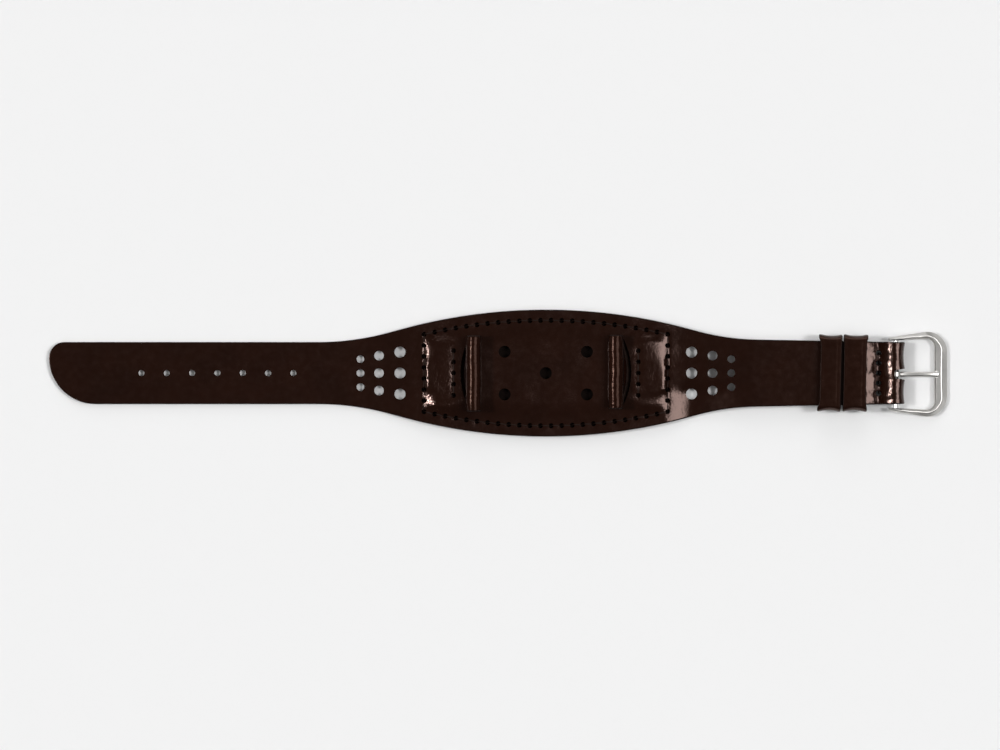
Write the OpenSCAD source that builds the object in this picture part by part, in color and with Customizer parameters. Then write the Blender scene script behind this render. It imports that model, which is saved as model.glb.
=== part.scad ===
// Rally watch strap: one long strip of leather with a wide sewn pad, two rolled lug loops,
// a fixed and a sliding keeper, and a pin buckle on a sprung bar.
// X runs along the strap towards the buckle, Y across it, and Z up from the wrist side.
// The origin is the middle of the pad, on its wrist side. Sizes are in millimetres.

/* [Strap outline] */
// Thickness of the strap leather
leather_t = 1.4; // [1.3:0.05:1.5]
// Half width of the pad at its middle
pad_half = 16.35; // [16:0.05:16.7]
// Radius of the pad's long sides
pad_side_r = 140; // [136:1:146]
// Angle at which the sides run in from the pad
flare = 15; // [14.5:0.1:15.5]
// Half width of the adjusting tail
tail_half = 8; // [7.8:0.05:8.1]
// Distance from the pad's middle to the tip of the tail
tail_reach = 128.1; // [124:0.1:140]
// Radius of the tight corner of the lopsided tip
tip_small_r = 4; // [3:0.5:7]
// Radius of the hollow between the pad and the tail
tail_hollow_r = 70; // [66:1:74]
// Radius of the hollow between the pad and the buckle end
buckle_hollow_r = 62; // [58:1:66]
// Half width of the strap at its folded end
fold_half = 7.95; // [7.9:0.05:8]
// Angle of each edge's taper along the buckle end
taper = 1.03; // [1:0.01:1.1]

/* [Punched holes] */
// Diameter of an adjusting hole
adjust_d = 1.75; // [1.5:0.05:2]
// Number of adjusting holes
adjust_count = 7; // [3:1:7]
// Pitch of the adjusting holes
adjust_pitch = 6.53; // [6:0.01:7]
// Distance from the pad's middle to the nearest adjusting hole
adjust_near = 65.1; // [64:0.1:68]
// Diameters of the three columns of holes beside the pad, from the pad outwards
rally_d = [3, 2.6, 2.1]; // [1.8:0.1:3.1]
// Distances of the three columns from the pad's middle
rally_x = [37.6, 43, 47.8]; // [37:0.1:48]
// Distances of each column's outer holes from the centre line
rally_y = [5.4, 4.5, 3.6]; // [3.5:0.1:5.5]
// Diameter of the five vent holes in the pad
vent_d = 3.1; // [2.6:0.1:3.2]
// Places of the outer vent holes from the pad's middle
vent_at = [10.6, 5.5]; // [5:0.1:11]

/* [Pad] */
// Thickness of the pad's lining
lining_t = 1; // [0.9:0.05:1.1]
// Thickness of the filler between the lining and the strap
filler_t = 0.9; // [0.8:0.05:1]
// Distance from the pad's middle to the ends of the lining
lining_reach = 34.3; // [33.9:0.1:34.6]
// Distance of the stitching from the pad's long edges
stitch_inset = 2.75; // [2.6:0.05:2.9]
// Distance from the pad's middle to the end columns of stitches
stitch_reach = 31.4; // [31.2:0.1:31.4]
// Number of stitch holes along each long edge
edge_holes = 24; // [20:1:24]
// Number of stitch holes down each end column, corners included
end_holes = 8; // [6:1:8]

/* [Lug loops] */
// Radius of a rolled loop
loop_r = 2; // [1.9:0.05:2.1]
// Radius of the tunnel that takes the watch's spring bar
tunnel_r = 1; // [0.9:0.05:1]
// Lengths of the loops across the strap, at the tail side and the buckle side
loop_len = [19.5, 19]; // [18:0.1:19.6]
// Distances of the loops' axes from the pad's middle
loop_x = [18.6, 18]; // [17.8:0.1:18.8]
// Heights of the loops' axes above the pad's face
loop_lift = [2.7, 2.1]; // [2.05:0.05:2.8]
// How far each loop sits off the centre line
loop_shift = [-0.1, 0.3]; // [-0.3:0.1:0.3]

/* [Keepers] */
// Width of the sliding keeper along the strap
sliding_w = 5.3; // [5:0.1:5.4]
// Width of the fixed keeper along the strap
fixed_w = 5.8; // [5.5:0.1:5.8]
// Distance from the pad's middle to the near edge of the sliding keeper
sliding_x = 70.7; // [70.5:0.1:70.8]
// Distance from the pad's middle to the near edge of the fixed keeper
fixed_x = 76.7; // [76.6:0.1:76.8]
// Thickness of the keepers' leather
keeper_t = 1.2; // [1.15:0.05:1.2]
// Half width of the opening through a keeper
keeper_inner_half = 8.86; // [8.84:0.02:9]
// Height of the passage for the tail, over the strap
tail_passage = 1.6; // [1.5:0.05:2]
// Angle at which the sliding keeper sits askew
keeper_skew = 1.5; // [0:0.5:1.5]

/* [Buckle] */
// Distance from the pad's middle to the buckle's pivot
bar_x = 90.2; // [90:0.1:90.4]
// Distance from the pivot to the far edge of the frame
frame_reach = 13.4; // [13.2:0.1:13.8]
// Distance from the pivot to the inner edge of the far bar
window_reach = 10.1; // [9.9:0.1:10.1]
// Half width of the frame at its widest
frame_half = 10.94; // [10.8:0.02:11.1]
// Half width between the arms at the pivot
arm_gap_half = 8.63; // [8.6:0.01:8.7]
// Thickness of the frame
frame_t = 2; // [1.9:0.05:2.1]
// Width of the tang where it leaves the bar
tang_w = 1.3; // [1.1:0.05:1.3]
// Thickness of the tang
tang_t = 0.9; // [0.8:0.05:0.95]
// How far the bar and the buckle sit off the centre line
bar_shift = -0.3; // [-0.3:0.1:0]

/* [Spring bar] */
// Radius of the bar's tube
tube_r = 0.75; // [0.7:0.05:0.75]
// Half length of the tube
tube_half = 6.5; // [6.4:0.1:6.6]
// Radius of the collars beside the buckle's arms
collar_r = 0.58; // [0.55:0.01:0.62]
// Radius of the tips that enter the buckle's arms
tip_r = 0.4; // [0.35:0.05:0.4]
// Number of coils in the spring
coils = 16; // [12:1:18]

/* [Hidden] */

leather_colour = "#33211a";
lining_colour = "#1c1917";
keeper_colour = "#402a20";
thread_colour = "#4a3226";
steel_colour = "#c4c6c8";

// Cutting tools reach this far past what they cut.
over = 1;

// Heights of the layers, from the wrist side up
edge_top = lining_t + leather_t;
panel_top = edge_top + filler_t;

// The strap leaves the lining at lift_x and meets the table at settle_x on the tail side.
lift_x = 31.9;
settle_x = 47.5;
// It climbs to carry_x on the buckle side and stays level under both keepers.
carry_x = 55;
keeper_under_t = keeper_t - 0.1;
flap_t = 1.2;
carry_z = flap_t + keeper_under_t;
// It is drawn down onto the turned-back flap at the stitches, and then climbs over the bar.
sew_x = 85.8;
level_end_x = 82.6;
pinch_half = 0.5;
flap_start_x = 76.2;
flap_skive = 0.8;

// The fold round the spring bar
fold_inner_r = 1;
fold_outer_r = fold_inner_r + leather_t;
fold_bore_r = fold_inner_r + 0.05;
bar_z = fold_outer_r;
fold_end_x = bar_x + fold_outer_r;

// The notch that the tang stands in, and the relief round the tang's eye
notch_start_x = 90;
notch_half = 1.05;
notch_mouth_half = 1.5;
eye_r = 1.4;
eye_relief_r = 1.6;
eye_relief_half = 1.15;

// Stitches
stitch_hole_r = 0.5;
thread_r = 0.35;
thread_h = 0.3;
thread_w = 0.4;
thread_turn = 0.25;
groove_half = 0.55;
groove_depth = 0.45;
loop_row_x = 23.8;
loop_row_pitch = 2.87;
turnback_row_pitch = 2.6;
row_holes = 5;

// The raised panel inside the stitching, and the filler that raises it
panel_foot_inset = 3.5;
panel_top_inset = 5.2;
panel_foot_reach = 30.6;
panel_top_reach = 28.9;
filler_foot_inset = 4.6;
filler_top_inset = 5.8;
filler_foot_reach = 29.5;
filler_top_reach = 28.3;

// The slit that each lug loop comes out of
slit_x = 22;
slit_r = 19.3;
slit_half = 10.15;
neck_off = 0.35;
neck_t = 1.5;
neck_gap = 0.2;
tab_far_x = 25.7;
tab_gap = 0.2;
tab_inset = 6.2;

// Flare geometry: where the pad's side arcs end, and where the hollows begin and end
arc_end = [pad_side_r * sin(flare), pad_half - pad_side_r * (1 - cos(flare))];
tail_hollow_top = tail_half + tail_hollow_r * (1 - cos(flare));
tail_hollow_end_x = arc_end.x + (arc_end.y - tail_hollow_top) / tan(flare) + tail_hollow_r * sin(flare);
hollow_run = buckle_hollow_r * (sin(flare) - sin(taper));
hollow_drop = buckle_hollow_r * (cos(taper) - cos(flare));
buckle_hollow_x = (arc_end.y + arc_end.x * tan(flare) - fold_half - hollow_drop
    - (fold_end_x - hollow_run) * tan(taper)) / (tan(flare) - tan(taper));
buckle_hollow_y = arc_end.y - (buckle_hollow_x - arc_end.x) * tan(flare);

// Buckle geometry, from the pivot
buckle_tilt = asin((bar_z - frame_t / 2) / frame_reach) - 0.2;
frame_back = -1.9;
frame_back_half = 9.42;
frame_corner_r = 5.2;
frame_corner_steps = 5;
window_corner_r = 2.2;
window_half = 9.15;
tang_reach = 11.4;
recess_half = 0.85;
recess_floor = 0.5;
pivot_clear = 0.05;

// Spring bar geometry, from the bar's middle
tube_bore_r = 0.45;
crimp_bore_r = 0.32;
crimp_len = 0.4;
head_r = 0.4;
head_from = 4.6;
head_to = 5.5;
shank_r = 0.27;
collar_from = 7.6;
collar_to = arm_gap_half - 0.05;
tip_to = arm_gap_half + 0.7;
wire_r = 0.08;
coil_r = 0.31;
coil_rings = 8;
wire_sides = 6;

function arc(cx, cy, r, from, to, n) = [
    for (i = [0:n]) let (a = from + (to - from) * i / n) [cx + r * cos(a), cy + r * sin(a)]
];

function flip(points) = [for (i = [len(points) - 1:-1:0]) [points[i].x, -points[i].y]];

function smooth(u) = let (c = min(max(u, 0), 1)) c * c * (3 - 2 * c);

// One long edge of the strap, from the tail's shoulder to the folded end
function long_edge() = concat(
    arc(-tail_hollow_end_x, tail_half + tail_hollow_r, tail_hollow_r, 270, 270 + flare, 8),
    arc(0, pad_half - pad_side_r, pad_side_r, 90 + flare, 90 - flare, 24),
    arc(
        buckle_hollow_x + buckle_hollow_r * sin(flare),
        buckle_hollow_y + buckle_hollow_r * cos(flare),
        buckle_hollow_r, 270 - flare, 270 - taper, 8
    ),
    [[fold_end_x, fold_half]]
);

// The lopsided tip: a tight corner on one edge and a long sweep on the other, meeting side by side
function strap_outline() =
    let (sweep_r = 2 * tail_half - tip_small_r, meet_y = tail_half - tip_small_r)
    concat(
        arc(tip_small_r - tail_reach, meet_y, tip_small_r, 180, 90, 8),
        long_edge(),
        flip(long_edge()),
        arc(sweep_r - tail_reach, meet_y, sweep_r, 270, 180, 16)
    );

// Height of the pad's edge above the centre line at x, drawn in by inset
function pad_edge(x, inset) = pad_half - pad_side_r + sqrt(pow(pad_side_r - inset, 2) - x * x);

// The pad's outline drawn in by inset along its sides and cut off at reach
function pad_outline(inset, reach) =
    let (side = [for (i = [-12:12]) [reach * i / 12, pad_edge(reach * i / 12, inset)]])
    concat(side, flip(side));

// Height of the strap's underside along its length
function under(x) =
    x < -settle_x ? 0
    : x < -lift_x ? lining_t * pow((x + settle_x) / (settle_x - lift_x), 2)
    : x < lift_x ? lining_t
    : x < level_end_x ? lining_t + (carry_z - lining_t) * smooth((x - lift_x) / (carry_x - lift_x))
    : x < sew_x ? carry_z + (flap_t - carry_z)
        * smooth((x - level_end_x) / (sew_x - pinch_half - level_end_x))
    : flap_t + (bar_z + fold_inner_r - flap_t)
        * smooth((x - sew_x - pinch_half) / (bar_x - sew_x - pinch_half));

function steps(from, to, n) = [for (i = [0:n]) from + (to - from) * i / n];

// A point on the strap's face (side 1) or underside (side -1) at x
function sheet_point(x, side) =
    let (
        d = 0.01,
        slope = (under(x + d) - under(x - d)) / (2 * d),
        normal = [-slope, 1] / norm([-slope, 1])
    )
    [x, under(x) + leather_t / 2] + side * leather_t / 2 * normal;

function reversed(list) = [for (i = [len(list) - 1:-1:0]) list[i]];

// The strap is flat between these two, a little inside the bends at the pad's ends.
flat_x = lift_x - 0.1;

tail_stations = concat([-tail_reach - over], steps(-settle_x, -lift_x, 8), [-flat_x]);
climb_stations = concat([flat_x], steps(lift_x, carry_x, 10), steps(level_end_x, sew_x - pinch_half, 6));
fold_stations = steps(sew_x + pinch_half, bar_x, 8);

// The strap seen from its edge, with its turned-back flap and the space round the bar closed
function side_profile() = concat(
    [for (x = concat(tail_stations, climb_stations, fold_stations)) sheet_point(x, 1)],
    arc(bar_x, bar_z, fold_outer_r, 80, -90, 17),
    [[flap_start_x, 0], [flap_start_x + flap_skive, flap_t]],
    [for (x = reversed(concat(tail_stations, climb_stations))) sheet_point(x, -1)]
);

// The space between the strap and its flap, left of the bar
function fold_space() = concat(
    [for (x = fold_stations) sheet_point(x, -1)],
    [[bar_x, bar_z - fold_inner_r]]
);

module across(length) {
    translate([0, length / 2, 0])
        rotate([90, 0, 0])
            linear_extrude(length)
                children();
}

module along(length) {
    rotate([90, 0, 90])
        linear_extrude(length)
            children();
}

module mirrored_in_y() {
    children();
    mirror([0, 1, 0])
        children();
}

// A shape with sloping sides, from one pad outline at the foot to a smaller one at the top
module pad_mound(foot_inset, foot_reach, top_inset, top_reach, from_z, to_z) {
    skin = 0.01;
    hull() {
        translate([0, 0, from_z])
            linear_extrude(skin)
                polygon(pad_outline(foot_inset, foot_reach));
        translate([0, 0, to_z - skin])
            linear_extrude(skin)
                polygon(pad_outline(top_inset, top_reach));
    }
}

function pad_holes() =
    let (
        pitch = 2 * stitch_reach / (edge_holes - 1),
        corner_y = pad_edge(stitch_reach, stitch_inset),
        drop = 2 * corner_y / (end_holes - 1),
        top = [for (i = [0:edge_holes - 1])
            let (x = i * pitch - stitch_reach) [x, pad_edge(x, stitch_inset)]],
        side = [for (i = [1:end_holes - 2]) [stitch_reach, corner_y - i * drop]]
    )
    concat(top, side, flip(top), [for (p = reversed(side)) [-p.x, p.y]]);

function row(x, pitch) = [for (i = [0:row_holes - 1]) [x, (i - (row_holes - 1) / 2) * pitch]];

function rally_holes() = [
    for (side = [-1, 1], i = [0:2], j = [-1:1]) [side * rally_x[i], j * rally_y[i], rally_d[i]]
];

function vents() = concat([[0, 0]], [for (i = [-1, 1], j = [-1, 1]) [i * vent_at.x, j * vent_at.y]]);

module drill(points, r, from_z, to_z) {
    for (p = points)
        translate([p.x, p.y, from_z])
            cylinder(h = to_z - from_z, r = r, $fn = 32);
}

// Thread legs in their holes, with a straight run from each hole to the next above and below
module stitches(points, closed, low_z, high_z) {
    last = closed ? len(points) - 1 : len(points) - 2;
    drill(points, thread_r, low_z + thread_h / 3, high_z + thread_h * 2 / 3);
    for (i = [0:last]) {
        p = points[i];
        step = points[(i + 1) % len(points)] - p;
        for (z = [low_z, high_z])
            translate([p.x, p.y, z])
                rotate([0, 0, atan2(step.y, step.x)])
                    translate([thread_turn, -thread_w / 2, 0])
                        cube([norm(step) - 2 * thread_turn, thread_w, thread_h]);
    }
}

module row_groove(x, pitch) {
    length = (row_holes - 1) * pitch + 2 * groove_half;
    translate([x - groove_half, -length / 2, -over])
        cube([2 * groove_half, length, groove_depth + over]);
}

function loop_index(side) = side < 0 ? 0 : 1;

function slit_start_x(side) = loop_x[loop_index(side)] + neck_off - neck_gap;

// The crescent slit: a straight side for the loop's neck and a long arc away from it
module lug_slit(side) {
    start_x = slit_start_x(side);
    neck_w = neck_t + 2 * neck_gap;
    translate([0, 0, lining_t])
        linear_extrude(panel_top)
            intersection() {
                union() {
                    translate([side * (slit_x - slit_r), 0])
                        circle(slit_r, $fn = 180);
                    translate([side * (start_x + neck_w / 2), 0])
                        square([neck_w, 2 * slit_half], center = true);
                }
                translate([side * (start_x + 5), 0])
                    square([10, 2 * slit_half], center = true);
            }
}

module strap_blank() {
    intersection() {
        across(3 * pad_half)
            polygon(side_profile());
        translate([0, 0, -over])
            linear_extrude(4 * bar_z)
                polygon(strap_outline());
    }
    pad_mound(panel_foot_inset, panel_foot_reach, panel_top_inset, panel_top_reach,
        edge_top - leather_t / 2, panel_top);
}

module tang_notch() {
    end_x = fold_end_x + over;
    translate([0, 0, -over])
        linear_extrude(4 * bar_z)
            polygon([
                [notch_start_x, -notch_half],
                [end_x, -notch_mouth_half],
                [end_x, notch_mouth_half],
                [notch_start_x, notch_half]
            ]);
    at_pivot(0)
        lathe_y(eye_relief_r, eye_relief_half);
}

// A round bar along Y, reaching half to each side
module lathe_y(r, half, $fn = 64) {
    rotate([90, 0, 0])
        cylinder(h = 2 * half, r = r, center = true);
}

module at_pivot(shift) {
    translate([bar_x, shift, bar_z])
        children();
}

module strap_leather() {
    color(leather_colour)
        difference() {
            strap_blank();
            pad_mound(filler_foot_inset, filler_foot_reach, filler_top_inset, filler_top_reach,
                lining_t, lining_t + filler_t);
            across(3 * pad_half)
                polygon(fold_space());
            at_pivot(0)
                lathe_y(fold_bore_r, pad_half);
            tang_notch();
            lug_slit(-1);
            lug_slit(1);
            for (i = [0:adjust_count - 1])
                translate([-adjust_near - i * adjust_pitch, 0, -over])
                    cylinder(h = 4 * over, d = adjust_d, $fn = 40);
            for (hole = rally_holes())
                translate([hole.x, hole.y, -over])
                    cylinder(h = 6 * over, d = hole.z, $fn = 48);
            drill(vents(), vent_d / 2, 0, panel_top + over);
            drill(pad_holes(), stitch_hole_r, 0, panel_top);
            drill(row(-loop_row_x, loop_row_pitch), stitch_hole_r, 0, panel_top + over);
            drill(row(loop_row_x, loop_row_pitch), stitch_hole_r, 0, panel_top + over);
            drill(row(sew_x, turnback_row_pitch), stitch_hole_r, -over, panel_top + over);
            row_groove(sew_x, turnback_row_pitch);
        }
}

module pad_lining() {
    lining_inset = 0.1;
    stations = [-lining_reach, -lift_x, -flat_x, flat_x, lift_x, lining_reach];
    color(lining_colour)
        difference() {
            intersection() {
                across(3 * pad_half)
                    polygon(concat(
                        [for (x = stations) sheet_point(x, -1)],
                        [[lining_reach, 0], [-lining_reach, 0]]
                    ));
                linear_extrude(panel_top)
                    polygon(pad_outline(lining_inset, lining_reach));
            }
            translate([0, 0, -over])
                linear_extrude(groove_depth + over)
                    difference() {
                        polygon(pad_outline(stitch_inset - groove_half, stitch_reach + groove_half));
                        polygon(pad_outline(stitch_inset + groove_half, stitch_reach - groove_half));
                    }
            row_groove(-loop_row_x, loop_row_pitch);
            row_groove(loop_row_x, loop_row_pitch);
            drill(pad_holes(), stitch_hole_r, -over, panel_top);
            drill(row(-loop_row_x, loop_row_pitch), stitch_hole_r, -over, panel_top);
            drill(row(loop_row_x, loop_row_pitch), stitch_hole_r, -over, panel_top);
        }
}

module pad_filler() {
    color(lining_colour)
        difference() {
            pad_mound(filler_foot_inset + tab_gap / 4, filler_foot_reach - tab_gap / 4,
                filler_top_inset + tab_gap / 4, filler_top_reach - tab_gap / 4,
                lining_t, lining_t + filler_t);
            for (side = [-1, 1])
                translate([side * (slit_start_x(side) + tab_far_x) / 2, 0, lining_t])
                    cube([tab_far_x - slit_start_x(side) + 2 * tab_gap, 2 * slit_half, panel_top], center = true);
            drill(vents(), vent_d / 2, 0, panel_top);
        }
}

module pad_thread() {
    color(thread_colour)
        stitches(pad_holes(), true, groove_depth - thread_h, edge_top);
}

module loop_thread(side) {
    color(thread_colour)
        stitches(row(side * loop_row_x, loop_row_pitch), false, groove_depth - thread_h, panel_top);
}

module turnback_thread() {
    color(thread_colour)
        stitches(row(sew_x, turnback_row_pitch), false, groove_depth - thread_h, flap_t + leather_t);
}

// A leather strip rolled into a tunnel, whose two ends go down the slit and lie flat under the strap
module lug_loop(side) {
    i = loop_index(side);
    axis = [loop_x[i], panel_top + loop_lift[i]];
    neck_x = axis.x + neck_off;
    color(leather_colour)
        difference() {
            translate([0, loop_shift[i], 0])
                mirror([side < 0 ? 1 : 0, 0, 0]) {
                    across(loop_len[i]) {
                        translate(axis)
                            circle(loop_r, $fn = 64);
                        translate([neck_x, lining_t])
                            square([neck_t, axis.y - lining_t - 0.35 * loop_r]);
                    }
                    translate([0, 0, lining_t])
                        linear_extrude(filler_t)
                            intersection() {
                                polygon(pad_outline(tab_inset, tab_far_x));
                                translate([neck_x, -loop_len[i] / 2])
                                    square([tab_far_x, loop_len[i]]);
                            }
                }
            translate([side * axis.x, 0, axis.y])
                lathe_y(tunnel_r, loop_len[i]);
            drill(row(side * loop_row_x, loop_row_pitch), stitch_hole_r, 0, edge_top);
        }
}

module rounded_box(half, low, high, r) {
    difference() {
        translate([-half, low])
            square([2 * half, high - low]);
        for (y = [-1, 1], z = [0, 1])
            translate([y * half, z > 0 ? high : low])
                square(2 * r, center = true);
    }
    for (y = [-1, 1], z = [low + r, high - r])
        translate([y * (half - r), z])
            circle(r, $fn = 48);
}

// A band of leather closed round the strap, with its ends drawn in a little between its edges
module keeper(width, under_low, under_high) {
    over_low = carry_z + leather_t + tail_passage;
    outer_half = keeper_inner_half + keeper_t;
    waist_r = 9;
    waist_depth = 0.4;
    difference() {
        along(width)
            rounded_box(outer_half, under_low, over_low + keeper_t, keeper_t);
        translate([-over, 0, 0])
            along(width + 2 * over)
                rounded_box(keeper_inner_half, under_high, over_low, 0.4);
        for (y = [-1, 1])
            translate([width / 2, y * (outer_half + waist_r - waist_depth), 0])
                cylinder(h = 4 * bar_z, r = waist_r, $fn = 120);
    }
}

module fixed_keeper() {
    color(keeper_colour)
        translate([fixed_x, 0, 0])
            keeper(fixed_w, flap_t, carry_z);
}

module sliding_keeper() {
    play = 0.05;
    color(keeper_colour)
        translate([sliding_x + sliding_w / 2, 0, 0])
            rotate([0, 0, -keeper_skew])
                translate([-sliding_w / 2, 0, 0])
                    keeper(sliding_w, flap_t - play, carry_z - play);
}

// The buckle lies tilted about its pivot, with its far bar on the table
module on_bar() {
    at_pivot(bar_shift)
        rotate([0, buckle_tilt, 0])
            children();
}

// The frame's outline: arms that spread a little, and round corners into the far bar
function frame_corners() =
    let (
        r = frame_corner_r,
        spread = atan((frame_half - frame_back_half) / (frame_reach - r - frame_back)),
        side = concat(
            [[frame_back, frame_back_half]],
            arc(frame_reach - r, frame_half - r, r, 90 + spread, 0, frame_corner_steps)
        )
    )
    concat(side, flip(side));

function window_points() =
    let (side = concat(
        [[frame_back - over, arm_gap_half]],
        arc(window_reach - window_corner_r, window_half - window_corner_r, window_corner_r, 90, 0, 6)
    ))
    concat(side, flip(side));

// Cuts the sloping face above the edge from p to q, width wide and drop high at the edge
module bevel(p, q, width, drop) {
    run = q - p;
    k = drop / width;
    far = width + over;
    translate([p.x, p.y, frame_t / 2 - drop])
        rotate([0, 0, atan2(run.y, run.x)])
            translate([-5, 0, 0])
                rotate([90, 0, 90])
                    linear_extrude(norm(run) + 10)
                        polygon([[over, -k * over], [-far, k * far], [over, k * far]]);
}

// The sloping face is narrow along the arms, and widens round the corners to the far bar.
module frame_bevels() {
    corners = frame_corners();
    last = len(corners) - 2;
    for (i = [0:last]) {
        share = min(min(i, last - i) / (frame_corner_steps - 1), 1);
        bevel(corners[i], corners[i + 1], 0.45 + 1.15 * share, 0.5 + 0.7 * share);
    }
}

module buckle_frame() {
    arm_end_r = frame_t / 2;
    color(steel_colour)
        on_bar()
            difference() {
                intersection() {
                    translate([0, 0, -frame_t / 2])
                        linear_extrude(frame_t)
                            polygon(frame_corners());
                    across(4 * frame_half)
                        union() {
                            translate([frame_back + arm_end_r, 0])
                                circle(arm_end_r * 1.02, $fn = 48);
                            translate([frame_back + arm_end_r, -frame_t])
                                square([frame_reach + 2 * over, 2 * frame_t]);
                        }
                }
                translate([0, 0, -frame_t])
                    linear_extrude(2 * frame_t)
                        polygon(window_points());
                frame_bevels();
                mirror([0, 0, 1])
                    for (i = [0:len(frame_corners()) - 2])
                        bevel(frame_corners()[i], frame_corners()[i + 1], 0.25, 0.25);
                lathe_y(tip_r + pivot_clear, frame_half + over);
                translate([window_reach - over, -recess_half, recess_floor])
                    cube([tang_reach + 0.15 - window_reach + over, 2 * recess_half, frame_t]);
            }
}

function tang_under(x) = -0.1 + (recess_floor + 0.15) * smooth((x - 1) / 8.5);

module buckle_tang() {
    stations = steps(0.3, tang_reach - 1, 10);
    color(steel_colour)
        on_bar()
            difference() {
                union() {
                    lathe_y(eye_r, tang_w / 2);
                    intersection() {
                        across(2 * tang_w)
                            polygon(concat(
                                [for (x = stations) [x, tang_under(x) + tang_t]],
                                [[tang_reach - 0.3, recess_floor + tang_t * 0.9]],
                                [[tang_reach, recess_floor + tang_t * 0.5]],
                                [[tang_reach - 0.1, recess_floor + 0.05]],
                                [for (x = reversed(stations)) [x, tang_under(x)]]
                            ));
                        translate([0, 0, -frame_t])
                            linear_extrude(3 * frame_t)
                                polygon(concat(
                                    [[0, -tang_w / 2], [6, -tang_w * 0.44]],
                                    arc(tang_reach - 0.72, 0, 0.72, -90, 90, 8),
                                    [[6, tang_w * 0.44], [0, tang_w / 2]]
                                ));
                    }
                }
                lathe_y(tube_r + pivot_clear, tang_w);
            }
}

module spring_bar_tube() {
    color(steel_colour)
        at_pivot(bar_shift)
            difference() {
                lathe_y(tube_r, tube_half);
                lathe_y(tube_bore_r, tube_half - crimp_len);
                lathe_y(crimp_bore_r, tube_half + over);
            }
}

// The plunger: a head held inside the tube, a thin shank through the crimp, a collar and a tip
module spring_bar_pin(side) {
    color(steel_colour)
        at_pivot(bar_shift)
            rotate([side > 0 ? -90 : 90, 0, 0])
                union() {
                    translate([0, 0, head_from])
                        cylinder(h = head_to - head_from, r = head_r, $fn = 40);
                    translate([0, 0, head_from + 0.1])
                        cylinder(h = collar_to - head_from - 0.2, r = shank_r, $fn = 40);
                    translate([0, 0, collar_from])
                        cylinder(h = collar_to - collar_from, r = collar_r, $fn = 40);
                    translate([0, 0, collar_from + 0.1])
                        cylinder(h = tip_to - collar_from - 0.1, r = tip_r, $fn = 40);
                }
}

// The spring's wire: a ring of points every eighth of a turn, along a helix between the two heads
module spring_bar_spring() {
    half = head_from - wire_r - 0.05;
    rings = coils * coil_rings;
    lead = 2 * half / rings;
    points = [
        for (i = [0:rings], j = [0:wire_sides - 1])
            let (
                turn = 360 * i / coil_rings,
                a = 360 * j / wire_sides,
                r = coil_r + wire_r * cos(a)
            )
            [r * cos(turn), i * lead - half + wire_r * sin(a), r * sin(turn)]
    ];
    function at(i, j) = i * wire_sides + j % wire_sides;
    walls = [
        for (i = [0:rings - 1], j = [0:wire_sides - 1], k = [0, 1])
            k == 0 ? [at(i, j), at(i, j + 1), at(i + 1, j + 1)]
            : [at(i, j), at(i + 1, j + 1), at(i + 1, j)]
    ];
    caps = [
        for (j = [1:wire_sides - 2], end = [0, 1])
            end == 0 ? [at(0, 0), at(0, j + 1), at(0, j)]
            : [at(rings, 0), at(rings, j), at(rings, j + 1)]
    ];
    color(steel_colour)
        at_pivot(bar_shift)
            polyhedron(points, concat(walls, caps), convexity = 10);
}

strap_leather();
pad_lining();
pad_filler();
pad_thread();
lug_loop(-1);  // lug_loop_tail_side
lug_loop(1);  // lug_loop_buckle_side
loop_thread(-1);  // loop_thread_tail_side
loop_thread(1);  // loop_thread_buckle_side
fixed_keeper();
sliding_keeper();
turnback_thread();
buckle_frame();
buckle_tang();
spring_bar_tube();
spring_bar_spring();
spring_bar_pin(1);  // spring_bar_pin_upper
spring_bar_pin(-1);  // spring_bar_pin_lower
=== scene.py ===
"""A brown rally watch strap, lying open on a pale table and seen from straight above.

Each sub-assembly of the strap, each finish and the studio is a class. Sizes are in millimetres in the
classes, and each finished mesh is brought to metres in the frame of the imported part.
"""

import logging
import math
from collections.abc import Callable, Iterator
from contextlib import contextmanager
from dataclasses import dataclass
from enum import Enum
from typing import ClassVar

import bmesh
import bpy
import numpy as np
from mathutils import Matrix, Vector

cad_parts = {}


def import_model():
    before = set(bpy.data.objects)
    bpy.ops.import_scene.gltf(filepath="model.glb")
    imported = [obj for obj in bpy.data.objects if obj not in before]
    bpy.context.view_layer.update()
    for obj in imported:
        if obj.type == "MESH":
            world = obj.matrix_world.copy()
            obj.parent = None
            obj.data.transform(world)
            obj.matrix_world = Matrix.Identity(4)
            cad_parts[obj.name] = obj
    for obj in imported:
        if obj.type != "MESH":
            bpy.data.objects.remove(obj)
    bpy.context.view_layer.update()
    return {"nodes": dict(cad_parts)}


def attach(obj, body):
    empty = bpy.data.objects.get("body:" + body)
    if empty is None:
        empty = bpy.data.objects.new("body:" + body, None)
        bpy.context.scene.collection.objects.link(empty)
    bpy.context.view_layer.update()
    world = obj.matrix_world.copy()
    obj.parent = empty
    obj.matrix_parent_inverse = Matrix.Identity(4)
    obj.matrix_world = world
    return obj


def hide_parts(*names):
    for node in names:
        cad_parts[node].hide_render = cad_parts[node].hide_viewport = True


log = logging.getLogger("strap")
MM = 0.001
GOLDEN_TURN = 2.399
RIPPLE_WAVES = 6
RIPPLE_PEAK = 3.2
Colour = tuple[float, float, float]
Point = tuple[float, float]


class Body(Enum):
    """The moving bodies that a piece can ride on."""

    STRAP = "strap"
    SLIDING_KEEPER = "sliding_keeper"
    BUCKLE_FRAME = "buckle_frame"
    BUCKLE_TANG = "buckle_tang"


class Slot(Enum):
    """The record's material slots. Nothing here reads them; the new pieces get their finishes from the
    wardrobe.
    """

    STRAP = "strap_leather"
    LINING = "lining_leather"
    FILLER = "filler"
    KEEPER = "keeper_leather"
    THREAD = "thread"
    STEEL = "satin_steel"


class Lights(Enum):
    """What a lamp lights, as the state of its link to the table."""

    ALL = None
    STRAP = "EXCLUDE"
    TABLE = "INCLUDE"


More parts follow.
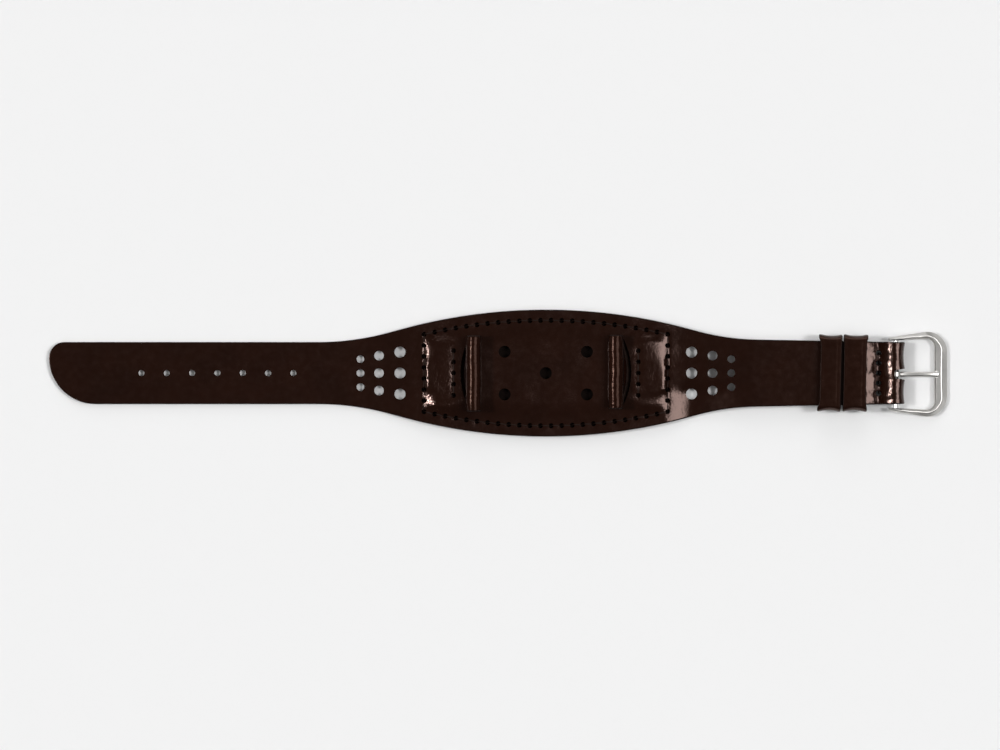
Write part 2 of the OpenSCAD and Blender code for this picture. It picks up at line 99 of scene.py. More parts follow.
class Grain(Enum):
    """How the surface of a leather looks close up, as (pebble size, pebble depth) in millimetres."""

    POLISHED = (0.5, 0.06)
    STRETCHED = (0.55, 0.06)
    SATIN = (0.5, 0.008)
    RAW = (0.25, 0.03)


def new_material(name: str) -> tuple[bpy.types.Material, bpy.types.ShaderNodeTree, bpy.types.Node]:
    """Makes an empty node material.

    Args:
        name: The material's name.

    Returns:
        The material, its node tree and its main shader.
    """
    material = bpy.data.materials.new(name)
    material.use_nodes = True
    tree = material.node_tree
    shader = tree.nodes["Principled BSDF"]
    return material, tree, shader


def noise(tree: bpy.types.ShaderNodeTree, size_mm: float, detail: float = 3.0) -> bpy.types.Node:
    """Adds a noise texture that reads the object's own coordinates.

    Args:
        tree: The node tree that gets the texture.
        size_mm: Size of one blotch in millimetres.
        detail: Number of finer layers.

    Returns:
        The noise node.
    """
    place = tree.nodes.new("ShaderNodeTexCoord")
    texture = tree.nodes.new("ShaderNodeTexNoise")
    texture.inputs["Scale"].default_value = 1 / (size_mm * MM)
    texture.inputs["Detail"].default_value = detail
    tree.links.new(place.outputs["Object"], texture.inputs["Vector"])
    return texture


def ramp(
    tree: bpy.types.ShaderNodeTree, source: bpy.types.NodeSocket, low: float, high: float,
    first: Colour, last: Colour,
) -> bpy.types.NodeSocket:
    """Turns a value into a colour that runs from first at low to last at high.

    Args:
        tree: The node tree.
        source: The value's socket.
        low: The value at the first colour.
        high: The value at the last colour.
        first: The first colour.
        last: The last colour.

    Returns:
        The colour's socket.
    """
    node = tree.nodes.new("ShaderNodeValToRGB")
    node.color_ramp.elements[0].position = low
    node.color_ramp.elements[1].position = high
    node.color_ramp.elements[0].color = (*first, 1)
    node.color_ramp.elements[1].color = (*last, 1)
    tree.links.new(source, node.inputs["Fac"])
    return node.outputs["Color"]


def bump(
    tree: bpy.types.ShaderNodeTree, source: bpy.types.NodeSocket, depth_mm: float,
    below: bpy.types.NodeSocket | None = None,
) -> bpy.types.NodeSocket:
    """Adds a bump of a real depth.

    Args:
        tree: The node tree.
        source: The height's socket, from 0 to 1.
        depth_mm: Depth of the relief in millimetres.
        below: Another bump's normal that this one adds to.

    Returns:
        The normal's socket.
    """
    node = tree.nodes.new("ShaderNodeBump")
    node.inputs["Strength"].default_value = 1.0
    node.inputs["Distance"].default_value = depth_mm * MM
    tree.links.new(source, node.inputs["Height"])
    if below is not None:
        tree.links.new(below, node.inputs["Normal"])
    return node.outputs["Normal"]


def rescale(
    tree: bpy.types.ShaderNodeTree, source: bpy.types.NodeSocket, before: Point, after: Point,
) -> bpy.types.NodeSocket:
    """Stretches a value from one range to another.

    Args:
        tree: The node tree.
        source: The value's socket.
        before: The range that the value has.
        after: The range that it gets.

    Returns:
        The new value's socket.
    """
    node = tree.nodes.new("ShaderNodeMapRange")
    for name, value in zip(("From Min", "From Max", "To Min", "To Max"), (*before, *after)):
        node.inputs[name].default_value = value
    tree.links.new(source, node.inputs["Value"])
    return node.outputs["Result"]


def reckon(
    tree: bpy.types.ShaderNodeTree, operation: str, first: bpy.types.NodeSocket,
    second: bpy.types.NodeSocket | float,
) -> bpy.types.NodeSocket:
    """Works one value out from two.

    Args:
        tree: The node tree.
        operation: The sum's name.
        first: The first value's socket.
        second: The second value's socket, or a number.

    Returns:
        The result's socket.
    """
    node = tree.nodes.new("ShaderNodeMath")
    node.operation = operation
    tree.links.new(first, node.inputs[0])
    if isinstance(second, float):
        node.inputs[1].default_value = second
    else:
        tree.links.new(second, node.inputs[1])
    return node.outputs[0]


def along(tree: bpy.types.ShaderNodeTree, stops: tuple[Point, ...]) -> bpy.types.NodeSocket:
    """Makes a value that changes along the strap.

    Args:
        tree: The node tree.
        stops: The places, in millimetres from the pad's middle, and the value at each.

    Returns:
        The value's socket.
    """
    first, last = stops[0][0], stops[-1][0]
    place = tree.nodes.new("ShaderNodeTexCoord")
    parts = tree.nodes.new("ShaderNodeSeparateXYZ")
    tree.links.new(place.outputs["Object"], parts.inputs["Vector"])
    share = rescale(tree, parts.outputs["X"], (first * MM, last * MM), (0.0, 1.0))
    node = tree.nodes.new("ShaderNodeValToRGB")
    marks = node.color_ramp.elements
    for _ in range(len(stops) - 2):
        marks.new(0.5)
    for mark, (at, value) in zip(marks, stops):
        mark.position = (at - first) / (last - first)
        mark.color = (value, value, value, 1)
    tree.links.new(share, node.inputs["Fac"])
    return node.outputs["Color"]


def shade(base: Colour, factor: float) -> Colour:
    """A colour made darker or lighter by a factor."""
    return (base[0] * factor, base[1] * factor, base[2] * factor)


@dataclass(frozen=True)
class Leather:
    """A finished leather, with uneven dye, pebbled grain and worn patches of differing roughness."""

    name: str
    colour: Colour
    roughness: float
    gloss: float
    grain: Grain
    shine: float = 0.5
    tint: Colour = (1.0, 0.66, 0.57)
    open_grain: tuple[Point, ...] = ()
    dye_size: float = 7.0
    wave_size: float = 3.2
    wave_depth: float = 0.05
    patch_size: float = 1.6
    roughness_range: Point = (0.82, 1.2)
    coat_roughness: float = 0.1

    def build(self) -> bpy.types.Material:
        """Makes the material.

        Returns:
            The material.
        """
        material, tree, shader = new_material(self.name)
        dye = noise(tree, self.dye_size, 4.0).outputs["Fac"]
        colour = ramp(tree, dye, 0.3, 0.75, shade(self.colour, 0.86), shade(self.colour, 1.16))
        tree.links.new(colour, shader.inputs["Base Color"])
        pebble_size, pebble_depth = self.grain.value
        pebbles = noise(tree, pebble_size, 2.0)
        waves = noise(tree, self.wave_size, 2.0)
        slow = bump(tree, waves.outputs["Fac"], self.wave_depth)
        fine = bump(tree, pebbles.outputs["Fac"], pebble_depth, slow)
        if self.open_grain:
            tree.links.new(along(tree, self.open_grain), fine.node.inputs["Strength"])
        tree.links.new(fine, shader.inputs["Normal"])
        patches = noise(tree, self.patch_size)
        smoothest, roughest = self.roughness_range
        worn = (self.roughness * smoothest, self.roughness * roughest)
        tree.links.new(rescale(tree, patches.outputs["Fac"], (0.3, 0.7), worn), shader.inputs["Roughness"])
        shader.inputs["Specular IOR Level"].default_value = self.shine
        shader.inputs["Specular Tint"].default_value = (*self.tint, 1)
        shader.inputs["Coat Weight"].default_value = self.gloss
        shader.inputs["Coat Roughness"].default_value = self.coat_roughness
        tree.links.new(fine, shader.inputs["Coat Normal"])
        return material


@dataclass(frozen=True)
class Steel:
    """Satin steel with fine brushing along one direction."""

    name: str
    colour: Colour
    roughness: float
    brushing: tuple[float, float, float]
    line_size: float = 0.12
    line_depth: float = 0.002
    tone_size: float = 2.5
    roughness_range: Point = (0.88, 1.12)

    def build(self) -> bpy.types.Material:
        """Makes the material.

        Returns:
            The material.
        """
        material, tree, shader = new_material(self.name)
        lines = noise(tree, self.line_size, 2.0)
        stretch = tree.nodes.new("ShaderNodeMapping")
        stretch.inputs["Scale"].default_value = self.brushing
        tree.links.new(lines.inputs["Vector"].links[0].from_socket, stretch.inputs["Vector"])
        tree.links.new(stretch.outputs["Vector"], lines.inputs["Vector"])
        tone = noise(tree, self.tone_size).outputs["Fac"]
        colour = ramp(tree, tone, 0.3, 0.7, shade(self.colour, 0.95), shade(self.colour, 1.04))
        tree.links.new(colour, shader.inputs["Base Color"])
        finest, coarsest = self.roughness_range
        brushed = (self.roughness * finest, self.roughness * coarsest)
        tree.links.new(rescale(tree, lines.outputs["Fac"], (0.0, 1.0), brushed), shader.inputs["Roughness"])
        tree.links.new(bump(tree, lines.outputs["Fac"], self.line_depth), shader.inputs["Normal"])
        shader.inputs["Metallic"].default_value = 1.0
        return material


@dataclass(frozen=True)
class Thread:
    """Waxed thread, twisted from thin strands."""

    name: str
    colour: Colour
    strand_size: float = 0.12
    strand_depth: float = 0.03
    roughness: float = 0.6
    shine: float = 0.15

    def build(self) -> bpy.types.Material:
        """Makes the material.

        Returns:
            The material.
        """
        material, tree, shader = new_material(self.name)
        strands = noise(tree, self.strand_size, 2.0).outputs["Fac"]
        colour = ramp(tree, strands, 0.3, 0.7, shade(self.colour, 0.6), shade(self.colour, 1.4))
        tree.links.new(colour, shader.inputs["Base Color"])
        tree.links.new(bump(tree, strands, self.strand_depth), shader.inputs["Normal"])
        shader.inputs["Roughness"].default_value = self.roughness
        shader.inputs["Specular IOR Level"].default_value = self.shine
        return material


STRETCHED_AT = (
    (-130.0, 0.16), (-52.0, 0.16), (-38.0, 0.6), (-30.0, 1.0), (-24.0, 0.9), (-16.0, 0.2), (16.0, 0.2),
    (24.0, 0.6), (36.0, 0.7), (46.0, 0.16), (82.0, 0.35), (85.0, 0.7), (88.0, 1.0), (92.0, 1.0),
)
GLOSSY_BROWN = Leather(
    "glossy brown leather", (0.0113, 0.0034, 0.0017), 0.18, 0.15, Grain.POLISHED, 0.58,
    open_grain=STRETCHED_AT,
)
SATIN_BROWN = Leather(
    "satin brown leather", (0.0113, 0.0037, 0.0021), 0.23, 0.0, Grain.SATIN, 0.45, (1.0, 0.58, 0.46),
)
ROLLED_BROWN = Leather(
    "creased brown leather", (0.0125, 0.0040, 0.0022), 0.19, 0.0, Grain.STRETCHED, 0.13, (1.0, 0.6, 0.48),
)
# The lining's near-black colour is painted shade: the vents stop at the lining, and it stands for the shade
# deep in them.
BLACK_LINING_VENT_SHADE = Leather("black lining leather, painted vent shade", (0.0012, 0.0010, 0.0009), 0.55, 0.0, Grain.SATIN, 0.1)
# Dark edge paint on the cut edges. On the lug loops the same dark leather is painted shade, on their upright
# faces and down in the slits.
BURNISHED_EDGE_AND_SHADE = Leather("burnished edge and painted shade", (0.0060, 0.0026, 0.0019), 0.5, 0.0, Grain.SATIN, 0.15)
RAW_FELT = Leather("raw filler", (0.03, 0.017, 0.01), 0.8, 0.0, Grain.RAW)
BROWN_THREAD = Thread("brown waxed thread", (0.013, 0.0058, 0.0038))
SATIN_STEEL = Steel("satin buckle steel", (0.64, 0.625, 0.60), 0.33, (0.15, 1.0, 1.0))
# The spring bar's tube: its dark colour is painted shade, for the shadow that it lies in inside the notch.
NOTCH_SHADE_STEEL = Steel("tube steel, painted notch shade", (0.10, 0.095, 0.09), 0.5, (1.0, 0.2, 1.0))
TURNED_STEEL = Steel("turned bar steel", (0.66, 0.66, 0.65), 0.3, (1.0, 0.2, 1.0))


class Wardrobe:
    """Builds each finish once and hands it to the pieces that wear it."""

    def __init__(self) -> None:
        """Starts with nothing built."""
        self.built: dict[str, bpy.types.Material] = {}

    def wear(self, piece: bpy.types.Object, *finishes: "Leather | Steel | Thread") -> None:
        """Gives a piece its materials.

        Args:
            piece: The piece to dress.
            finishes: Its finishes, in the order of the mesh's material indices.
        """
        piece.data.materials.clear()
        for finish in finishes:
            if finish.name not in self.built:
                self.built[finish.name] = finish.build()
            piece.data.materials.append(self.built[finish.name])


@contextmanager
def edit_mode() -> Iterator[None]:
    """Opens the active piece in edit mode with all of it selected, and closes it afterwards."""
    bpy.ops.object.mode_set(mode="EDIT")
    bpy.ops.mesh.select_all(action="SELECT")
    yield
    bpy.ops.object.mode_set(mode="OBJECT")


def start_from(primitive: Callable[..., object], **settings: object) -> bpy.types.Object:
    """Adds a primitive while nothing else is selected.

    Args:
        primitive: The operator that adds it.
        settings: The operator's own settings.

    Returns:
        The new piece.
    """
    bpy.ops.object.select_all(action="DESELECT")
    primitive(**settings)
    return bpy.context.active_object


def only(piece: bpy.types.Object) -> None:
    """Selects one piece and nothing else, and makes it active.

    Args:
        piece: The piece.
    """
    bpy.ops.object.select_all(action="DESELECT")
    piece.select_set(True)
    bpy.context.view_layer.objects.active = piece


def points_of(piece: bpy.types.Object) -> np.ndarray:
    """The piece's vertices as rows of x, y and z.

    Args:
        piece: The piece.

    Returns:
        One row for each vertex.
    """
    flat = np.zeros(len(piece.data.vertices) * 3)
    piece.data.vertices.foreach_get("co", flat)
    return flat.reshape(-1, 3)


def set_points(piece: bpy.types.Object, points: np.ndarray) -> None:
    """Moves the piece's vertices to new places."""
    piece.data.vertices.foreach_set("co", points.astype(np.float32).ravel())
    piece.data.update()


def finish_with(piece: bpy.types.Object, kind: str, **settings: object) -> None:
    """Adds one modifier to the piece and applies it.

    Args:
        piece: The piece.
        kind: The modifier's type.
        settings: The modifier's own settings.
    """
    only(piece)
    modifier = piece.modifiers.new(kind.title(), kind)
    for name, value in settings.items():
        setattr(modifier, name, value)
    bpy.ops.object.modifier_apply(modifier=modifier.name)


def paint_edges_and_shade(piece: bpy.types.Object, is_edge_or_shade: Callable[[np.ndarray, np.ndarray], np.ndarray]) -> None:
    """Gives a piece's cut edges its second material, and on the lug loops also the faces that are darkened
    with it as painted shade.

    Args:
        piece: The piece.
        is_edge_or_shade: Tells from the faces' normals and middles which of them take the second material:
            cut edges, and on the lug loops painted shade too.
    """
    faces = piece.data.polygons
    normals, middles = np.zeros(len(faces) * 3), np.zeros(len(faces) * 3)
    faces.foreach_get("normal", normals)
    faces.foreach_get("center", middles)
    marks = is_edge_or_shade(normals.reshape(-1, 3), middles.reshape(-1, 3))
    faces.foreach_set("material_index", marks.astype(np.int32))
    piece.data.update()


def join(pieces: list[bpy.types.Object]) -> bpy.types.Object:
    """Joins several pieces into the first.

    Args:
        pieces: The pieces.

    Returns:
        The joined piece.
    """
    bpy.ops.object.select_all(action="DESELECT")
    for piece in pieces:
        piece.select_set(True)
    bpy.context.view_layer.objects.active = pieces[0]
    if len(pieces) > 1:
        bpy.ops.object.join()
    return pieces[0]


def cut_away(piece: bpy.types.Object, cutters: list[bpy.types.Object]) -> None:
    """Cuts cutters that don't touch one another out of a piece, and deletes them.

    Args:
        piece: The piece that is cut.
        cutters: The closed cutting shapes.
    """
    cutter = join(cutters)
    finish_with(piece, "BOOLEAN", operation="DIFFERENCE", solver="EXACT", object=cutter)
    bpy.data.objects.remove(cutter)


def lathe(
    profile: list[Point], place: tuple[float, float, float], steps: int = 32, axis: str = "Z",
    closed: bool = True,
) -> bpy.types.Object:
    """Turns a profile of (radius, height) round an axis, as on a lathe.

    Args:
        profile: The profile from the bottom to the top.
        place: Where the axis's zero stands.
        steps: Steps round the axis.
        axis: The axis that it turns about, Z or Y.
        closed: Whether the ends are closed onto the axis.

    Returns:
        The turned piece.
    """
    piece = start_from(bpy.ops.mesh.primitive_circle_add, vertices=3, radius=1)
    shape = bmesh.new()
    ends = [(0.0, profile[0][1]), *profile, (0.0, profile[-1][1])] if closed else profile
    line = [shape.verts.new((r, 0.0, z)) for r, z in ends]
    for pair in zip(line, line[1:]):
        shape.edges.new(pair)
    shape.to_mesh(piece.data)
    shape.free()
    with edit_mode():
        bpy.ops.mesh.spin(steps=steps, angle=2 * math.pi, center=(0, 0, 0), axis=(0, 0, 1))
        bpy.ops.mesh.select_all(action="SELECT")
        bpy.ops.mesh.remove_doubles(threshold=1e-4)
        bpy.ops.mesh.normals_make_consistent(inside=False)
    if axis == "Y":
        piece.data.transform(Matrix.Rotation(-math.pi / 2, 4, "X"))
    piece.data.transform(Matrix.Translation(place))
    return piece


def prism(outline: list[Point], low: float, high: float) -> bpy.types.Object:
    """Stands an outline up into a closed prism, from a single face that is extruded.

    Args:
        outline: The outline's corners in order.
        low: Height of the foot.
        high: Height of the top.

    Returns:
        The prism.
    """
    piece = start_from(
        bpy.ops.mesh.primitive_circle_add, vertices=len(outline), radius=1, fill_type="NGON",
    )
    set_points(piece, np.array([(x, y, low) for x, y in outline]))
    with edit_mode():
        bpy.ops.mesh.extrude_region_move(TRANSFORM_OT_translate={"value": (0, 0, high - low)})
        bpy.ops.mesh.select_all(action="SELECT")
        bpy.ops.mesh.normals_make_consistent(inside=False)
    return piece


def double_grid(stations: int, rows: int) -> tuple[bpy.types.Object, np.ndarray, np.ndarray, np.ndarray]:
    """Extrudes a grid into a sheet with two faces, which is then shaped point by point.

    Args:
        stations: Points along the sheet.
        rows: Faces across it.

    Returns:
        The sheet, and for each vertex its station, its row, and whether it is on the upper face.
    """
    piece = start_from(
        bpy.ops.mesh.primitive_grid_add, x_subdivisions=stations - 1, y_subdivisions=rows, size=2,
    )
    with edit_mode():
        bpy.ops.mesh.extrude_region_move(TRANSFORM_OT_translate={"value": (0, 0, 1)})
    grid = points_of(piece)
    station = np.rint((grid[:, 0] + 1) / 2 * (stations - 1)).astype(int)
    row = np.rint((grid[:, 1] + 1) / 2 * rows)
    return piece, station, row, grid[:, 2] > 0.5


def spread_rows(width: np.ndarray | float, row: np.ndarray, rows: int, rim: np.ndarray) -> np.ndarray:
    """Spreads a sheet's rows across its width, closer together where both edges turn over.

    Args:
        width: The width at each vertex.
        row: The vertex's row, from 0 at the first edge.
        rows: The number of the last row.
        rim: Distances of the first few rows from the edge.

    Returns:
        Each vertex's distance from the first edge.
    """
    last = len(rim) - 1
    squeeze = np.minimum(1.0, width / (4 * rim[-1]))
    low = np.interp(row, np.arange(len(rim)), rim) * squeeze
    high = width - np.interp(rows - row, np.arange(len(rim)), rim) * squeeze
    middle_share = (row - last) / (rows - 2 * last)
    middle = rim[-1] * squeeze + (width - 2 * rim[-1] * squeeze) * middle_share
    return np.where(row < last, low, np.where(row > rows - last, high, middle))


def hand_over(
    piece: bpy.types.Object, name: str, body: Body, stands_for: list[str], angle: float = 40.0,
) -> bpy.types.Object:
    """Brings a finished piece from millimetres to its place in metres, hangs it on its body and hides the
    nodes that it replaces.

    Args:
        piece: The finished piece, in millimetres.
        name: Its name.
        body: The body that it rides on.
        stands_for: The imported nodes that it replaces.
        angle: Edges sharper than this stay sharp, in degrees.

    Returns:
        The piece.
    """
    piece.name = name
    piece.data.name = name
    only(piece)
    bpy.ops.object.transform_apply(location=True, rotation=True, scale=True)
    bpy.ops.object.shade_smooth_by_angle(angle=math.radians(angle))
    finish_with(piece, "WEIGHTED_NORMAL", keep_sharp=True, weight=100)
    piece.data.transform(Matrix.Scale(MM, 4))
    piece.data.update()
    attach(piece, body.value)
    if stands_for:
        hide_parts(*stands_for)
    log.info("%s: %d faces, on %s", name, len(piece.data.polygons), body.value)
    return piece


def smooth(share: np.ndarray) -> np.ndarray:
    """A soft step from 0 to 1 as the share runs from 0 to 1."""
    held = np.clip(share, 0, 1)
    return held * held * (3 - 2 * held)


def bell(distance: np.ndarray, width: float) -> np.ndarray:
    """A soft bump that is 1 at no distance and dies away over the width."""
    return np.exp(-((distance / width) ** 2))


def round_over(reach: np.ndarray, radius: float) -> np.ndarray:
    """How far a rounded edge of this radius has dropped at each distance from it."""
    left = np.clip(1 - reach / radius, 0, 1)
    return radius * (1 - np.sqrt(1 - left * left))


def ripple(x: np.ndarray, y: np.ndarray, size: float, seed: float) -> np.ndarray:
    """A smooth, uneven wave between about -1 and 1, the same on every run.

    Args:
        x: Places along the strap in millimetres.
        y: Places across it.
        size: Size of one wave.
        seed: Shifts the pattern.

    Returns:
        The wave's height at each place.
    """
    total = np.zeros_like(x, dtype=float)
    for i in range(RIPPLE_WAVES):
        turn = seed + GOLDEN_TURN * i
        reach = size * (0.7 + 0.22 * i)
        total += np.sin((x * math.cos(turn) + y * math.sin(turn)) * 2 * math.pi / reach + 1.7 * turn)
    return total / RIPPLE_PEAK


@dataclass
class StrapPlan:
    """Outline and layout of the long leather, which several sub-assemblies read."""

    leather_t: float = 1.4
    lining_t: float = 1.0
    filler_t: float = 0.9
    pad_half: float = 16.35
    pad_side_r: float = 140.0
    flare: float = math.radians(15)
    tail_half: float = 8.0
    tail_reach: float = 128.1
    tip_small_r: float = 4.0
    tail_hollow_r: float = 70.0
    buckle_hollow_r: float = 62.0
    fold_half: float = 7.95
    taper: float = math.radians(1.03)
    bar_x: float = 90.2
    bar_z: float = 2.4
    lift_x: float = 31.9
    settle_x: float = 47.5
    carry_x: float = 55.0
    carry_z: float = 2.3
    stitch_inset: float = 2.75
    stitch_reach: float = 31.4
    edge_holes: int = 24
    end_holes: int = 8
    row_x: float = 23.8
    row_pitch: float = 2.87
    sew_x: float = 85.8
    sew_pitch: float = 2.6
    vent_at: Point = (10.6, 5.5)
    slit_far_x: float = 22.0
    slit_arc: float = 19.3
    padding_inset: float = 2.9
    end_run: float = 0.4
    side_run: float = 6.4
    corner_slope: float = 0.37
    knob_at: Point = (23.3, -3.7)
    knob_z: float = 0.18
    seam_depth: float = 0.07
    hole_dip: float = 0.08
    sew_dip: float = 0.22
    dip_spread: float = 0.6
    droop_z: float = 0.93
    slack_z: float = 0.26
    blotch_z: float = 0.07
    fold_face: tuple[Point, ...] = (
        (82.4, 3.7), (83.0, 3.62), (84.0, 3.29), (84.7, 3.04), (85.2, 2.74), (85.8, 2.5), (86.3, 2.84),
        (87.2, 3.62), (88.0, 4.16), (88.5, 4.42), (89.3, 4.7), (90.2, 4.8),
    )

    def half_width(self, x: np.ndarray) -> np.ndarray:
        """Half the strap's width at each place along it, without the tip's corners.

        Args:
            x: Places along the strap.

        Returns:
            The half widths.
        """
        arc_x = self.pad_side_r * math.sin(self.flare)
        arc_y = self.pad_half - self.pad_side_r * (1 - math.cos(self.flare))
        slope = math.tan(self.flare)
        hollow_top = self.tail_half + self.tail_hollow_r * (1 - math.cos(self.flare))
        tail_end = arc_x + (arc_y - hollow_top) / slope + self.tail_hollow_r * math.sin(self.flare)
        run = self.buckle_hollow_r * (math.sin(self.flare) - math.sin(self.taper))
        drop = self.buckle_hollow_r * (math.cos(self.taper) - math.cos(self.flare))
        end_x = self.bar_x + self.bar_z
        hollow_x = (
            arc_y + arc_x * slope - self.fold_half - drop - (end_x - run) * math.tan(self.taper)
        ) / (slope - math.tan(self.taper))
        hollow_y = arc_y - (hollow_x - arc_x) * slope
        centre_x = hollow_x + self.buckle_hollow_r * math.sin(self.flare)
        centre_y = hollow_y + self.buckle_hollow_r * math.cos(self.flare)
        middle = self.pad_half - self.pad_side_r + np.sqrt(np.maximum(self.pad_side_r**2 - x * x, 1))
        sides = arc_y - (np.abs(x) - arc_x) * slope
        tail = self.tail_half + self.tail_hollow_r - np.sqrt(
            np.maximum(self.tail_hollow_r**2 - (x + tail_end) ** 2, 1)
        )
        hollow = centre_y - np.sqrt(np.maximum(self.buckle_hollow_r**2 - (x - centre_x) ** 2, 1))
        straight = self.fold_half + (end_x - x) * math.tan(self.taper)
        return np.select(
            [
                x < -tail_end,
                x < -tail_end + self.tail_hollow_r * math.sin(self.flare),
                np.abs(x) > arc_x,
            ],
            [np.full_like(x, self.tail_half), tail, sides],
            middle,
        ) * (x < hollow_x) + (x >= hollow_x) * np.where(
            x < centre_x - self.buckle_hollow_r * math.sin(self.taper), hollow, straight
        )

    def edges(self, x: np.ndarray) -> tuple[np.ndarray, np.ndarray]:
        """The lower and the upper edge at each place, with the lopsided tip.

        Args:
            x: Places along the strap.

        Returns:
            The lower and the upper edge.
        """
        half = self.half_width(x)
        meet = self.tail_half - self.tip_small_r
        sweep = 2 * self.tail_half - self.tip_small_r
        small_x = x + self.tail_reach - self.tip_small_r
        sweep_x = x + self.tail_reach - sweep
        upper = np.where(small_x < 0, meet + np.sqrt(np.maximum(self.tip_small_r**2 - small_x**2, 0)), half)
        lower = np.where(sweep_x < 0, meet - np.sqrt(np.maximum(sweep**2 - sweep_x**2, 0)), -half)
        return lower, upper

    def pad_edge(self, x: float, inset: float) -> float:
        """Distance from the centre line to the pad's edge at x, drawn in by inset."""
        return self.pad_half - self.pad_side_r + math.sqrt((self.pad_side_r - inset) ** 2 - x * x)

    def pad_holes(self) -> list[Point]:
        """The stitch holes round the pad, in the order in which the thread runs.

        Returns:
            The holes' places.
        """
        pitch = 2 * self.stitch_reach / (self.edge_holes - 1)
        corner = self.pad_edge(self.stitch_reach, self.stitch_inset)
        drop = 2 * corner / (self.end_holes - 1)
        top = [
            (i * pitch - self.stitch_reach, self.pad_edge(i * pitch - self.stitch_reach, self.stitch_inset))
            for i in range(self.edge_holes)
        ]
        side = [(self.stitch_reach, corner - i * drop) for i in range(1, self.end_holes - 1)]
        bottom = [(x, -y) for x, y in reversed(top)]
        back = [(-x, y) for x, y in reversed(side)]
        return [*top, *side, *bottom, *back]

    def row(self, x: float, pitch: float) -> list[Point]:
        """Five stitch holes across the strap at x."""
        return [(x, (i - 2) * pitch) for i in range(5)]

    def loop_row(self, side: int) -> list[Point]:
        """The stitch holes that hold a lug loop, on the tail's side for -1 and the buckle's for 1."""
        return self.row(side * self.row_x, self.row_pitch)

    def vents(self) -> list[Point]:
        """Five vents, one in the pad's middle and four round it."""
        x, y = self.vent_at
        return [(0.0, 0.0), *((i * x, j * y) for i in (-1, 1) for j in (-1, 1))]

    def slit_x(self, y: np.ndarray | float) -> np.ndarray | float:
        """How far out a lug loop's slit reaches at each place across the strap."""
        return self.slit_far_x - self.slit_arc + np.sqrt(self.slit_arc**2 - y * y)

    def under(self, x: np.ndarray) -> np.ndarray:
        """Height of the strap's underside, up to where it is drawn down behind the fixed keeper.

        Args:
            x: Places along the strap.

        Returns:
            The heights.
        """
        rise = (x + self.settle_x) / (self.settle_x - self.lift_x)
        climb = smooth((x - self.lift_x) / (self.carry_x - self.lift_x))
        return np.select(
            [x < -self.settle_x, x < -self.lift_x, x < self.lift_x],
            [np.zeros_like(x), self.lining_t * rise**2, np.full_like(x, self.lining_t)],
            self.lining_t + (self.carry_z - self.lining_t) * climb,
        )

    def padding(
        self, x: np.ndarray, y: np.ndarray, from_edge: np.ndarray, from_end: np.ndarray,
    ) -> np.ndarray:
        """The height that the filler adds inside the stitching, slower at some of the pad's corners.

        Args:
            x: Places along the strap.
            y: Places across it.
            from_edge: Distances from the strap's edge.
            from_end: Distances from the row of stitches across the pad's end.

        Returns:
            The added heights.
        """
        inside = np.clip(from_end + 0.1, 0, None)
        left_run = self.end_run + 1.0 * smooth((y - 1.0) / 6) + 2.3 * smooth((-y - 3.5) / 3)
        right_run = self.end_run + 2.5 * smooth((y - 0.5) / 8.5) + 3.6 * smooth((-y - 4.0) / 3.0)
        run = np.where(x < 0, left_run, right_run)
        corner_run = np.where(x > 0, 2.8, np.where(y > 0, 3.9, 2.3))
        edge_run = corner_run + (self.side_run - corner_run) * smooth((28 - np.abs(x)) / 9)
        rise = self.filler_t * (1 - np.exp(-inside / run))
        rise = rise * smooth((from_edge - self.padding_inset) / edge_run)
        ease = np.clip(inside - 2.2, 0, 1.8)
        straight = self.corner_slope * (inside - ease**2 / 3.6 - np.clip(inside - 4.0, 0, None))
        corner = bell(y + 8.2, 2.3) * np.where(x < 0, 1.0, 0.0) * smooth((-15 - x) / 8)
        rise = rise + corner * np.maximum(straight - self.filler_t * (1 - np.exp(-inside / 2.7)), 0)
        knob_x, knob_y = self.knob_at
        return rise + self.knob_z * bell(x - knob_x, 1.2) * bell(y - knob_y, 1.2)

    def sewn_in(
        self, x: np.ndarray, y: np.ndarray, from_edge: np.ndarray, from_end: np.ndarray,
    ) -> np.ndarray:
        """How far the stitching draws the leather down, along its rows and at each hole.

        Args:
            x: Places along the strap.
            y: Places across it.
            from_edge: Distances from the strap's edge.
            from_end: Distances from the row of stitches across the pad's end.

        Returns:
            The depths.
        """
        seam_long = bell(from_edge - self.stitch_inset, 0.45) * smooth((from_end + 0.5) / 0.5)
        seam_end = bell(from_end, 0.45) * smooth((from_edge - self.stitch_inset + 0.5) / 0.5)
        row_depth = 0.045 + np.where(x < 0, 0.06, 0.0) * bell(y + 1.0, 2.2)
        row_fade = smooth((7.4 - np.abs(y)) / 1.6)
        depth = self.seam_depth * np.maximum(seam_long, seam_end)
        depth = depth + row_depth * bell(np.abs(x) - self.row_x, 0.75) * row_fade
        rows = [
            (self.hole_dip, [*self.pad_holes(), *self.loop_row(-1), *self.loop_row(1)]),
            (self.sew_dip, self.row(self.sew_x, self.sew_pitch)),
        ]
        for dip, holes in rows:
            for hole_x, hole_y in holes:
                depth = depth + dip * np.exp(-((x - hole_x) ** 2 + (y - hole_y) ** 2) / self.dip_spread)
        return depth

